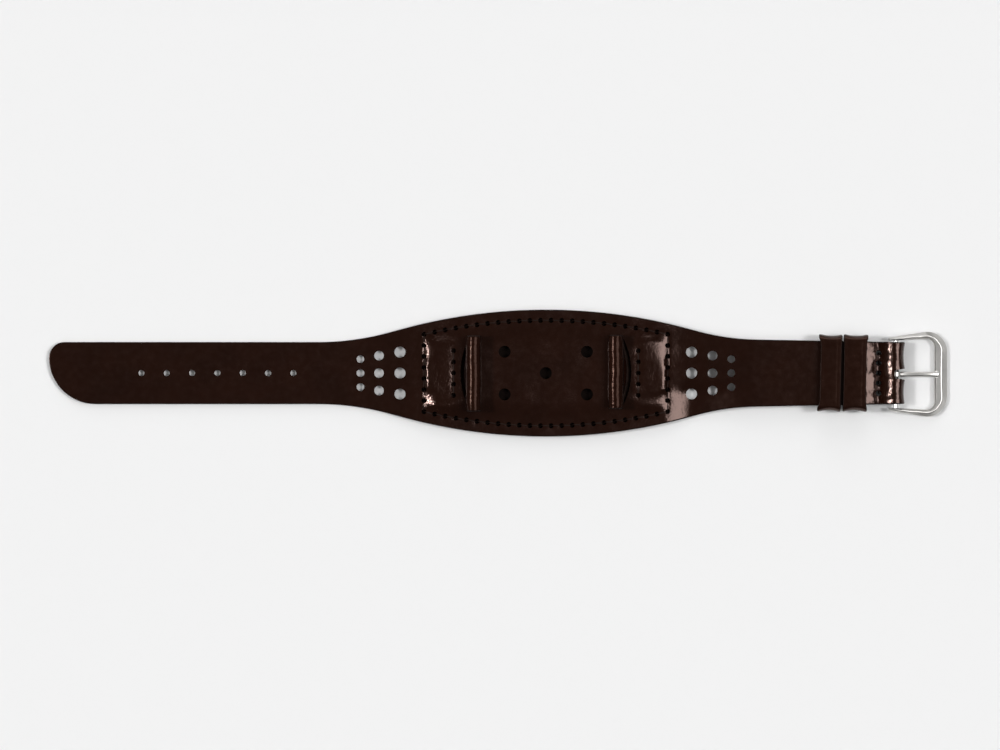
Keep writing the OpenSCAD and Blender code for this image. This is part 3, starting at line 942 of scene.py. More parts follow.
    def face(self, x: np.ndarray, y: np.ndarray) -> np.ndarray:
        """Height of the grain side everywhere but on the fold, with its padding, creases and dips.

        Args:
            x: Places along the strap.
            y: Places across it.

        Returns:
            The heights.
        """
        from_edge = self.half_width(x) - np.abs(y)
        from_end = self.stitch_reach - np.abs(x)
        fold = np.array(self.fold_face)
        wander = (0.13 * np.sin(0.9 * y + 0.6) + 0.07 * np.sin(2.3 * y + 2.0)) * smooth((x - 82.6) / 2)
        on_way = np.interp(x + wander, fold[:, 0], fold[:, 1])
        z = np.where(x > fold[0, 0], on_way, self.under(x) + self.leather_t)
        z = z + self.padding(x, y, from_edge, from_end) - self.sewn_in(x, y, from_edge, from_end)
        droop = smooth((x - 29.8) / 8.4) * smooth((-y - 1.0) / 5) * smooth((54 - x) / 14)
        slack = smooth((x - 30.5) / 7.0) * smooth((50 - x) / 12)
        pad = smooth((38 - np.abs(x)) / 6)
        crumple = smooth((x - 82.6) / 1.5) * smooth((91 - x) / 2)
        blotch = smooth((x - 82.0) / 0.8) * smooth((85.2 - x) / 0.8)
        uneven = pad * (0.05 * ripple(x, y, 11.0, 0.4) + 0.016 * ripple(x, y, 4.2, 2.0))
        creases = crumple * (0.03 * ripple(x, y, 3.1, 1.1) + 0.02 * ripple(x, y, 1.7, 2.3))
        blotches = self.blotch_z * blotch * ripple(x, y, 3.4, 0.9)
        return z - self.droop_z * droop - self.slack_z * slack + uneven + creases + blotches


@dataclass
class StrapLeather:
    """The one-piece strap, from the tip of the tail round the bar to the end of its turned-back flap."""

    plan: StrapPlan
    across: int = 72
    edge_round: float = 0.34
    rim: tuple[float, ...] = (0.0, 0.04, 0.12, 0.23, 0.36)
    adjust_r: float = 0.8
    adjust_near: float = 65.1
    adjust_pitch: float = 6.53
    adjust_count: int = 7
    rally_r: tuple[float, ...] = (1.43, 1.24, 1.0)
    rally_x: tuple[float, ...] = (37.6, 43.0, 47.8)
    rally_y: tuple[float, ...] = (5.4, 4.5, 3.6)
    vent_r: float = 1.55
    stitch_r: float = 0.65
    sew_r: float = 0.72
    punch_z: tuple[float, float, float] = (-1.0, 0.5, 7.0)
    punch_steps: int = 28
    slit_start: tuple[float, float] = (18.75, 18.15)
    slit_half: tuple[float, float] = (9.7, 9.45)
    slit_shift: tuple[float, float] = (-0.1, 0.3)
    slit_steps: int = 56
    slit_narrowest: float = 0.9
    notch_y: float = -0.3
    notch: tuple[Point, ...] = ((89.8, 0.95), (90.05, 1.15), (91.6, 1.27), (93.6, 1.6))
    flap: tuple[Point, ...] = ((76.2, 0.3), (77.8, 0.9), (86.6, 0.9), (88.5, 1.3), (90.2, 1.4))
    fold_hollow: float = 0.36
    groove_z: float = 0.42

    def stations(self) -> tuple[np.ndarray, int, int]:
        """Places along the grain side, from the tip to the end of the flap.

        Returns:
            The places, as x on the straight runs and degrees on the fold, how many are on the first
            run, and how many are on the fold.
        """
        turn = np.linspace(0, math.pi / 2, 16)[:-1]
        tip = -self.plan.tail_reach + 12 * (1 - np.cos(turn))
        runs = [
            tip, np.arange(-116.1, -62, 1.5), np.arange(-62, -34, 0.8), np.arange(-34, 35, 0.42),
            np.arange(35, 82, 0.8), np.arange(82, self.plan.bar_x + 0.01, 0.2),
        ]
        first = np.concatenate(runs)
        fold = np.linspace(90, -90, 19)[1:]
        flap = np.concatenate([
            np.linspace(self.plan.bar_x, 87.2, 5)[1:], np.linspace(87.2, 84.4, 13)[1:],
            np.linspace(84.4, self.flap[0][0], 9)[1:],
        ])
        return np.concatenate([first, fold, flap]), len(first), len(fold)

    def rim_drop(self, x: np.ndarray, y: np.ndarray) -> np.ndarray:
        """How far a face turns over towards the strap's edge.

        Args:
            x: Places along the strap.
            y: Places across it.

        Returns:
            The drop, which is 0 away from the edge.
        """
        lower, upper = self.plan.edges(x)
        reach = np.minimum(y - lower, upper - y)
        near_tip = x < 12.5 - self.plan.tail_reach
        turn = np.linspace(0, math.pi, 240)
        rim_x = 6.5 * (1 - np.cos(turn)) - self.plan.tail_reach
        rim_low, rim_high = self.plan.edges(rim_x)
        rim = np.column_stack([np.concatenate([rim_x, rim_x]), np.concatenate([rim_low, rim_high])])
        tip = np.column_stack([x[near_tip], y[near_tip]])
        reach[near_tip] = np.sqrt(((tip[:, None, :] - rim[None, :, :]) ** 2).sum(2)).min(1)
        return round_over(reach, self.edge_round)

    def blank(self) -> bpy.types.Object:
        """Extrudes a grid into a sheet with two faces, and shapes both into the whole strap.

        Returns:
            The leather before anything is punched.
        """
        plan = self.plan
        places, n_first, n_fold = self.stations()
        piece, column, row, grain = double_grid(len(places), self.across)
        on_first, on_flap = column < n_first, column >= n_first + n_fold
        on_fold = ~(on_first | on_flap)
        angle = np.radians(np.where(on_fold, places[column], 0))
        turned = np.where(grain, plan.bar_z, plan.bar_z - plan.leather_t)
        outline_x = np.where(on_fold, plan.bar_x + plan.bar_z * np.cos(angle), places[column])
        lower, upper = plan.edges(outline_x)
        y = lower + spread_rows(upper - lower, row, self.across, np.array(self.rim))
        drop = self.rim_drop(outline_x, y)
        half_way = (np.abs(y - self.notch_y) - 4.6) / 3.4
        past_bar = np.clip(outline_x - plan.bar_x, 0, None) / plan.bar_z
        hollow = self.fold_hollow * np.clip(1 - half_way**2, 0, 1) * past_bar
        face = plan.face(outline_x, y)
        first_z = np.where(grain, face - drop, face - plan.leather_t + 0.6 * drop)
        flap = np.array(self.flap)
        flap_t = np.interp(outline_x, flap[:, 0], flap[:, 1])
        groove = self.groove_z * bell(outline_x - plan.sew_x, 0.5) * smooth((6.4 - np.abs(y)) / 0.9)
        flap_z = np.where(grain, 0.6 * drop + groove, flap_t - 0.3 * drop)
        radius = turned - np.where(grain, drop, -0.3 * drop)
        fold_x = plan.bar_x + radius * np.cos(angle)
        fold_z = plan.bar_z + radius * np.sin(angle)
        x = np.where(on_fold, fold_x, outline_x) - np.where(on_fold, hollow, 0)
        z = np.where(on_first, first_z, np.where(on_flap, flap_z, fold_z))
        set_points(piece, np.column_stack([x, y, z]))
        only(piece)
        with edit_mode():
            bpy.ops.mesh.remove_doubles(threshold=1e-4)
        return piece

    def holes(self) -> list[bpy.types.Object]:
        """Every punch: adjusting holes, rally holes, vents and stitch holes.

        Returns:
            The cutters.
        """
        plan = self.plan
        through, to_lining, above = self.punch_z
        spots: list[tuple[float, float, float, float]] = []
        for i in range(self.adjust_count):
            spots.append((-self.adjust_near - i * self.adjust_pitch, 0.0, self.adjust_r, through))
        for side in (-1, 1):
            for r, x, y in zip(self.rally_r, self.rally_x, self.rally_y):
                spots.extend((side * x, j * y, r, through) for j in (-1, 0, 1))
        # The vents stop at the lining, whose near-black colour shows in them as painted shade.
        spots.extend((x, y, self.vent_r, to_lining) for x, y in plan.vents())
        stitched = [*plan.pad_holes(), *plan.loop_row(-1), *plan.loop_row(1)]
        spots.extend((x, y, self.stitch_r, to_lining) for x, y in stitched)
        spots.extend((x, y, self.sew_r, through) for x, y in plan.row(plan.sew_x, plan.sew_pitch))
        return [
            lathe([(r, low), (r, above)], (x, y, 0.0), steps=self.punch_steps) for x, y, r, low in spots
        ]

    def slit(self, side: int) -> bpy.types.Object:
        """The crescent slit that a lug loop comes out of, with the rough edge that a knife leaves.

        Args:
            side: -1 towards the tail, 1 towards the buckle.

        Returns:
            The cutter.
        """
        pick = 0 if side < 0 else 1
        start, half, shift = self.slit_start[pick], self.slit_half[pick], self.slit_shift[pick]
        outline = []
        count = self.slit_steps
        for i in range(count + 1):
            y = half * (2 * i / count - 1)
            rough = 0.07 * math.sin(5.1 * y + side) + 0.05 * math.sin(11.3 * y + 2.0)
            far = max(float(self.plan.slit_x(y)) + rough * (1 - (y / half) ** 2), start + self.slit_narrowest)
            outline.append((side * far, y + shift))
        outline.extend([(side * start, half + shift), (side * start, shift - half)])
        return prism(outline, 0.5, 6.0)

    def notch_cutter(self) -> bpy.types.Object:
        """The notch that the tang stands in, flared towards the fold's end.

        Returns:
            The cutter.
        """
        lower = [(x, self.notch_y - y) for x, y in self.notch]
        upper = [(x, self.notch_y + y) for x, y in reversed(self.notch)]
        return prism([*lower, *upper], -1.0, 6.0)

    def is_edge_or_shade(self, normals: np.ndarray, middles: np.ndarray) -> np.ndarray:
        """Tells the strap's cut edges and its holes' walls from its two faces.

        Args:
            normals: The faces' normals.
            middles: The faces' middles.

        Returns:
            Whether each face is a cut edge.
        """
        x, y = middles[:, 0], middles[:, 1]
        lower, upper = self.plan.edges(np.minimum(x, self.plan.bar_x))
        near = np.minimum(y - lower, upper - y) < 0.6 * self.edge_round
        upright = (np.abs(normals[:, 2]) < 0.3) & (x < self.plan.bar_x - 1)
        return near | upright

    def build(self, wardrobe: Wardrobe) -> bpy.types.Object:
        """Makes the strap.

        Args:
            wardrobe: Where the finishes hang.

        Returns:
            The strap.
        """
        piece = self.blank()
        cut_away(piece, self.holes())
        cut_away(piece, [self.slit(-1), self.slit(1), self.notch_cutter()])
        wardrobe.wear(piece, GLOSSY_BROWN, BURNISHED_EDGE_AND_SHADE)
        paint_edges_and_shade(piece, self.is_edge_or_shade)
        return hand_over(piece, "long_strap_leather", Body.STRAP, ["strap_leather"], 50.0)


@dataclass(frozen=True)
class Lamp:
    """One even lamp far away: where it stands, how strong it is and how wide it looks, in degrees."""

    name: str
    azimuth: float
    elevation: float
    strength: float
    spread: float
    lights: Lights

    def build(self, table: bpy.types.Object) -> None:
        """Hangs the lamp.

        Args:
            table: The table, which some lamps leave dark and others light alone.
        """
        light = bpy.data.lights.new(self.name, "SUN")
        light.energy = self.strength
        light.angle = math.radians(self.spread)
        holder = bpy.data.objects.new(self.name, light)
        bpy.context.scene.collection.objects.link(holder)
        a, e = math.radians(self.azimuth), math.radians(self.elevation)
        towards = Vector((math.cos(a) * math.cos(e), math.sin(a) * math.cos(e), math.sin(e)))
        holder.rotation_euler = towards.to_track_quat("Z", "Y").to_euler()
        if self.lights is not Lights.ALL:
            lit = bpy.data.collections.new(self.name + " flag")
            lit.objects.link(table)
            lit.collection_objects[0].light_linking.link_state = self.lights.value
            holder.light_linking.receiver_collection = lit


@dataclass
class Studio:
    """A pale table, flagged lamps from the left and the right, and the camera straight above."""

    photo_middle: Point = (-11.8, -0.5)
    photo_width: float = 258.0
    camera_height: float = 2600.0
    table_colour: Colour = (0.9, 0.9, 0.9)
    table_size: float = 12000.0
    table_z: float = -0.05
    wall_top: float = 0.045
    sensor_width: float = 36.0
    air_strength: float = 0.05
    lamps: tuple[Lamp, ...] = (
        Lamp("back_lamp", 95, 30, 0.62, 40, Lights.ALL),
        Lamp("left_strap_lamp", 176, 48, 1.77, 9, Lights.STRAP),
        Lamp("right_strap_lamp", 4, 60, 1.55, 33, Lights.STRAP),
        Lamp("left_table_lamp", 176, 48, 1.1, 11, Lights.TABLE),
        Lamp("right_table_lamp", 4, 57, 1.0, 11, Lights.TABLE),
        Lamp("left_table_glow", 176, 48, 0.67, 60, Lights.TABLE),
        Lamp("right_table_glow", 4, 57, 0.6, 60, Lights.TABLE),
    )

    def table(self) -> bpy.types.Object:
        """The table, whose own colour shows as it is in the photograph, with the strap's shadow.

        Returns:
            The table.
        """
        piece = start_from(
            bpy.ops.mesh.primitive_plane_add, size=self.table_size * MM, location=(0, 0, self.table_z * MM),
        )
        piece.name = "table_top"
        material, _, shader = new_material("pale table")
        shader.inputs["Base Color"].default_value = (*self.table_colour, 1)
        shader.inputs["Roughness"].default_value = 0.9
        shader.inputs["Specular IOR Level"].default_value = 0.0
        piece.data.materials.append(material)
        return piece

    def air(self) -> None:
        """Dim light from all round, and a pale wall along the horizon that the eye, metal and glass see."""
        world = bpy.data.worlds.new("studio air")
        bpy.context.scene.world = world
        world.use_nodes = True
        tree = world.node_tree
        tree.nodes.clear()
        path = tree.nodes.new("ShaderNodeLightPath").outputs
        place = tree.nodes.new("ShaderNodeTexCoord")
        parts = tree.nodes.new("ShaderNodeSeparateXYZ")
        tree.links.new(place.outputs["Generated"], parts.inputs["Vector"])
        low = reckon(tree, "LESS_THAN", parts.outputs["Z"], self.wall_top)
        seen = reckon(tree, "MAXIMUM", path["Is Camera Ray"], path["Is Glossy Ray"])
        seen = reckon(tree, "MAXIMUM", seen, path["Is Transmission Ray"])
        mix = tree.nodes.new("ShaderNodeMixShader")
        tree.links.new(reckon(tree, "MULTIPLY", seen, low), mix.inputs[0])
        shades = [((1, 1, 1), self.air_strength), (self.table_colour, 1.0)]
        for i, (colour, strength) in enumerate(shades, start=1):
            shade_node = tree.nodes.new("ShaderNodeBackground")
            shade_node.inputs["Color"].default_value = (*colour, 1)
            shade_node.inputs["Strength"].default_value = strength
            tree.links.new(shade_node.outputs[0], mix.inputs[i])
        tree.links.new(mix.outputs[0], tree.nodes.new("ShaderNodeOutputWorld").inputs[0])

    def camera(self) -> None:
        """The camera straight above, with the photograph's frame."""
        data = bpy.data.cameras.new("camera")
        data.sensor_width = self.sensor_width
        data.lens = self.sensor_width * self.camera_height / self.photo_width
        data.clip_start, data.clip_end = 0.01, 20.0
        holder = bpy.data.objects.new("camera", data)
        bpy.context.scene.collection.objects.link(holder)
        x, y = self.photo_middle
        holder.location = (x * MM, y * MM, self.camera_height * MM)
        bpy.context.scene.camera = holder

    def build(self) -> None:
        """Sets up the whole studio."""
        bpy.context.scene.view_settings.view_transform = "Standard"
        self.camera()
        table = self.table()
        for lamp in self.lamps:
            lamp.build(table)
        self.air()


def soft_line(points: list[tuple[float, ...]], rounds: int = 2) -> np.ndarray:
    """Rounds a line's corners by cutting them, and keeps its ends.

    Args:
        points: The line's points, with any number of values each.
        rounds: How many times the corners are cut.

    Returns:
        The rounded line.
    """
    line = np.array(points, dtype=float)
    for _ in range(rounds):
        first, last = line[:1], line[-1:]
        near, far = line[:-1] * 0.75 + line[1:] * 0.25, line[:-1] * 0.25 + line[1:] * 0.75
        inner = np.empty((2 * len(near), line.shape[1]))
        inner[0::2], inner[1::2] = near, far
        line = np.concatenate([first, inner[1:-1], last])
    return line


def walls_of(line: np.ndarray) -> tuple[np.ndarray, np.ndarray]:
    """The two faces of a strip that follows a line.

    Args:
        line: Rows of two coordinates and the strip's thickness.

    Returns:
        The points of the left face and of the right face.
    """
    run = np.gradient(line[:, :2], axis=0)
    run /= np.linalg.norm(run, axis=1, keepdims=True)
    side = np.column_stack([-run[:, 1], run[:, 0]]) * line[:, 2:3] / 2
    return line[:, :2] + side, line[:, :2] - side


def strip(
    outer: np.ndarray, inner: np.ndarray, width: float, rows: int, rim: float,
) -> tuple[bpy.types.Object, np.ndarray, np.ndarray]:
    """Extrudes a grid into a leather strip with two faces that follow two lines.

    Args:
        outer: Points of the outer face, as (a, b).
        inner: Points of the inner face, matched with the outer ones.
        width: The strip's width, from 0 upwards.
        rows: Faces across the width.
        rim: Radius of the rounded edges.

    Returns:
        The strip with its points as (a, width, b), each vertex's place along the line, and whether
        it is on the outer face.
    """
    piece, station, row, is_outer = double_grid(len(outer), rows)
    place = spread_rows(width, row, rows, np.array([0.0, 0.12, 0.4, 1.0]) * rim)
    drop = round_over(np.minimum(place, width - place), rim)
    a, b = outer[station], inner[station]
    wall = np.maximum(np.linalg.norm(b - a, axis=1), 1e-6)
    share = np.where(is_outer, drop / wall, 1 - drop / wall)[:, None]
    across = a + (b - a) * np.clip(share, 0, 1)
    set_points(piece, np.column_stack([across[:, 0], place, across[:, 1]]))
    return piece, station, is_outer


def close_up(piece: bpy.types.Object) -> None:
    """Closes a piece where its ends meet, and points all of its faces outwards.

    Args:
        piece: The piece.
    """
    only(piece)
    with edit_mode():
        bpy.ops.mesh.remove_doubles(threshold=1e-3)
        bpy.ops.mesh.normals_make_consistent(inside=False)


@dataclass
class PadInside:
    """The pad's lining under the strap, and the filler between the two."""

    plan: StrapPlan
    reach: float = 34.3
    inset: float = 0.1
    rows: int = 56
    gap: float = 0.01
    rim_round: float = 0.22
    groove_z: float = 0.42
    filler_reach: float = 29.3
    filler_inset: float = 4.8
    tab_from: float = 18.0
    tab_to: float = 25.9
    tab_half: float = 10.15
    vent_r: float = 1.6
    room_z: Point = (0.5, 3.0)

    def lining(self, wardrobe: Wardrobe) -> bpy.types.Object:
        """The lining, one sheet of black leather with the stitching sunk into its face. Its near-black
        colour, which shows only at the bottom of the vents, is painted shade for the shade down in them.

        Args:
            wardrobe: Where the finishes hang.

        Returns:
            The lining.
        """
        plan = self.plan
        stations = np.linspace(-self.reach, self.reach, 150)
        flat = np.column_stack([stations, np.zeros_like(stations)])
        top = np.column_stack([stations, plan.under(stations) - self.gap])
        piece, column, is_top = strip(top, flat, 1.0, self.rows, 0.05)
        points = points_of(piece)
        x, share = stations[column], points[:, 1]
        half = plan.half_width(x) - self.inset
        y = (2 * share - 1) * half
        from_edge, from_end = half + self.inset - np.abs(y), plan.stitch_reach - np.abs(x)
        seam = np.maximum(
            bell(from_edge - plan.stitch_inset, 0.5) * smooth((from_end + 0.6) / 0.6),
            bell(from_end, 0.5) * smooth((from_edge - plan.stitch_inset + 0.6) / 0.6),
        )
        row = bell(np.abs(x) - plan.row_x, 0.5) * smooth((7.2 - np.abs(y)) / 1.2)
        from_rim = np.minimum(from_edge, plan.lining_t + self.reach - np.abs(x))
        soft = self.rim_round * bell(from_rim, 0.25)
        lift = np.where(is_top, -soft, self.groove_z * np.maximum(seam, row) + soft)
        z = np.where(is_top, plan.under(x) - self.gap, 0) + lift
        set_points(piece, np.column_stack([x, y, z]))
        wardrobe.wear(piece, BLACK_LINING_VENT_SHADE)
        return hand_over(piece, "black_pad_lining", Body.STRAP, ["pad_lining"], 50.0)

    def filler(self, wardrobe: Wardrobe) -> bpy.types.Object:
        """The filler that raises the pad, with room for the loops' ends.

        Args:
            wardrobe: Where the finishes hang.

        Returns:
            The filler.
        """
        plan = self.plan
        x = np.linspace(-self.filler_reach, self.filler_reach, 40)
        upper = [(float(v), plan.pad_edge(float(v), self.filler_inset)) for v in x]
        outline = [*upper, *((v, -w) for v, w in reversed(upper))]
        piece = prism(outline, plan.lining_t, plan.lining_t + plan.filler_t - 0.12)
        rooms = []
        for side in (-1, 1):
            a, b, h = side * self.tab_from, side * self.tab_to, self.tab_half
            rooms.append(prism([(a, -h), (b, -h), (b, h), (a, h)], *self.room_z))
        cut_away(piece, rooms)
        r, low, high = self.vent_r, *self.room_z
        cut_away(piece, [lathe([(r, low), (r, high)], (vx, vy, 0)) for vx, vy in plan.vents()])
        sharp = math.radians(50)
        finish_with(piece, "BEVEL", width=0.15, segments=2, limit_method="ANGLE", angle_limit=sharp)
        wardrobe.wear(piece, RAW_FELT)
        return hand_over(piece, "pad_filling", Body.STRAP, ["pad_filler"])

    def build(self, wardrobe: Wardrobe) -> None:
        """Makes both layers."""
        self.lining(wardrobe)
        self.filler(wardrobe)


@dataclass
class LugLoop:
    """A strip rolled into a tunnel for the watch's bar, whose two ends go down the slit."""

    plan: StrapPlan
    side: int
    name: str
    node: str
    axis_x: float
    axis_z: float
    length: float
    shift: float
    roll_r: float = 1.5
    roll_t: float = 1.0
    far_x: float = 25.4
    slit_gap: float = 0.85
    rows: int = 26
    edge_round: float = 0.3
    end_pinch: float = 0.05
    wall_half: float = 0.37
    tab_top: float = 2.1
    tab_from: float = 20.0
    tab_taper: float = 0.09

    def path(self) -> np.ndarray:
        """The strip's middle line and thickness: along the tab, up, round and down again.

        Returns:
            Rows of two coordinates and the thickness.
        """
        x, z, r = self.axis_x, self.axis_z, self.roll_r
        up = [
            (self.far_x, 1.24, 0.4), (21.0, 1.24, 0.42), (x + 1.1, 1.24, 0.5), (x + 0.74, 1.7, 0.7),
            (x + 0.74, z - 2.0, 0.74), (x + 0.42, z - 1.5, 0.85),
        ]
        turn = [
            (x + r * math.cos(math.radians(a)), z + r * math.sin(math.radians(a)), self.roll_t)
            for a in range(-100, -352, -12)
        ]
        down = [
            (x + 1.52, z - 0.4, 0.95), (x + 1.5, z - 1.3, 0.8), (x + 1.49, 2.4, 0.74), (x + 1.6, 1.72, 0.6),
            (x + 2.4, 1.67, 0.42), (self.far_x - 0.3, 1.67, 0.4),
        ]
        return soft_line([*up, *turn, *down])

    def build(self, wardrobe: Wardrobe) -> bpy.types.Object:
        """Makes the loop.

        Args:
            wardrobe: Where the finishes hang.

        Returns:
            The loop.
        """
        outer, inner = walls_of(self.path())
        piece, _, _ = strip(outer, inner, self.length, self.rows, self.edge_round)
        points = points_of(piece)
        y = points[:, 1] - self.length / 2
        pinch = self.end_pinch * bell(np.abs(y) - self.length / 2, 0.7)
        wave = 0.045 * np.sin(y * 0.55 + self.side) + 0.02 * np.sin(y * 1.7 + 2)
        high = smooth((points[:, 2] - 3.4) / 1.2)
        x = self.axis_x + (points[:, 0] - self.axis_x) * (1 - high * pinch) + wave * high
        z = self.axis_z + (points[:, 2] - self.axis_z) * (1 - high * pinch)
        arc = self.plan.slit_x(np.clip(y, -10, 10))
        foot = self.axis_x + self.roll_r
        room = np.clip(arc - self.slit_gap - (foot + self.wall_half), 0, None)
        beyond = np.clip(1 - (x - foot) / (self.far_x - foot), 0, 1)
        fall = smooth((self.axis_z - 0.2 - z) / (self.axis_z - 3.3)) * (x > self.axis_x + 1.05) * beyond
        x = x + room * fall
        on_tab = (points[:, 2] < self.tab_top) & (x > self.tab_from)
        narrowing = self.tab_taper * np.clip((x - self.tab_from) / 6, 0, 1)
        y = np.where(on_tab, y * (1 - narrowing), y) + self.shift
        set_points(piece, np.column_stack([self.side * x, y, z]))
        close_up(piece)
        wardrobe.wear(piece, ROLLED_BROWN, BURNISHED_EDGE_AND_SHADE)
        # Besides the cut ends, the faces that stand upright across the strap and everything lower than 2.6
        # mm, down in the slit, get the dark edge leather as painted shade.
        paint_edges_and_shade(piece, lambda normals, middles: (
            (np.abs(normals[:, 1]) > 0.3) | (np.abs(normals[:, 0]) > 0.92) | (middles[:, 2] < 2.6)
        ))
        return hand_over(piece, self.name, Body.STRAP, [self.node], 50.0)


@dataclass
class Keeper:
    """A band of leather closed round the strap, drawn in at its ends and creased along its edges."""

    name: str
    node: str
    body: Body
    start_x: float
    width: float
    low: float
    inside_low: float
    skew: float = 0.0
    flare: Point = (0.1, 0.35)
    inner_half: float = 8.86
    wall: float = 1.2
    inside_high: float = 5.3
    bend_r: float = 1.7
    waist: float = 0.45
    corner: float = 0.45
    crease: float = 0.02
    crease_inset: float = 0.95
    lean: float = 0.04
    inner_bend_r: float = 0.4
    rows: int = 34
    edge_round: float = 0.2

    def ring(self, half: float, low: float, high: float, r: float) -> np.ndarray:
        """A closed line round the band, as (y, z), from the middle of its underside.

        Args:
            half: Half its breadth.
            low: Height of its underside.
            high: Height of its top.
            r: Radius of its corners.

        Returns:
            The line's points.
        """
        steps = 8
        corners = [(half - r, low + r), (half - r, high - r), (r - half, high - r), (r - half, low + r)]
        straight = [0, 2, 11, 2]
        points = [(0.0, low), ((half - r) * 0.5, low)]
        for i, (cy, cz) in enumerate(corners):
            turn = [math.radians(90 * i - 90 + 90 * k / steps) for k in range(steps + 1)]
            bend = [(cy + r * math.cos(a), cz + r * math.sin(a)) for a in turn]
            before = points[-1]
            for k in range(straight[i]):
                share = (k + 1) / (straight[i] + 1)
                y = before[0] + (bend[0][0] - before[0]) * share
                points.append((y, before[1] + (bend[0][1] - before[1]) * share))
            points.extend(bend)
        points.extend([((r - half) * 0.5, low), (0.0, low)])
        return np.array(points)

    def build(self, wardrobe: Wardrobe) -> bpy.types.Object:
        """Makes the keeper.

        Args:
            wardrobe: Where the finishes hang.

        Returns:
            The keeper.
        """
        half = self.inner_half + self.wall
        outer = self.ring(half, self.low, self.inside_high + self.wall, self.bend_r)
        inner = self.ring(self.inner_half, self.inside_low, self.inside_high, self.inner_bend_r)
        piece, _, is_outer = strip(outer, inner, self.width, self.rows, self.edge_round)
        points = points_of(piece)
        y, x, z = points[:, 0], points[:, 1], points[:, 2]
        off = (x - self.width / 2) / (self.width / 2)
        at_end = smooth((np.abs(y) - 8.3) / 1.5)
        from_side = np.minimum(x, self.width - x)
        rounded = round_over(from_side, self.corner) * at_end
        drawn = self.waist * (1 - off**2) * at_end * np.where(is_outer, 1.0, 0.0) + 0.7 * rounded
        high = smooth((z - 5.8) / 0.5) * np.where(is_outer, 1.0, 0.0)
        groove = bell(from_side - self.crease_inset, 0.16)
        crown = 0.06 * (1 - off**2) - 0.08 + self.lean * self.width / 2 * off
        shaped_z = z + high * (crown - self.crease * groove) + 0.03 * high * np.sin(0.6 * y + self.start_x)
        reach = np.where(off < 0, self.flare[0], self.flare[1])
        shaped_x = x + reach * off * smooth((np.abs(y) - 7.4) / 2.0) * smooth((z - 2.2) / 2)
        placed = np.column_stack([shaped_x - self.width / 2, np.sign(y) * (np.abs(y) - drawn), shaped_z])
        set_points(piece, placed)
        close_up(piece)
        wardrobe.wear(piece, SATIN_BROWN, BURNISHED_EDGE_AND_SHADE)
        paint_edges_and_shade(piece, lambda normals, middles: np.abs(normals[:, 0]) > 0.25)
        middle = self.start_x + self.width / 2
        turned = Matrix.Translation((middle, 0, 0)) @ Matrix.Rotation(math.radians(-self.skew), 4, "Z")
        piece.data.transform(turned)
        return hand_over(piece, self.name, self.body, [self.node], 55.0)


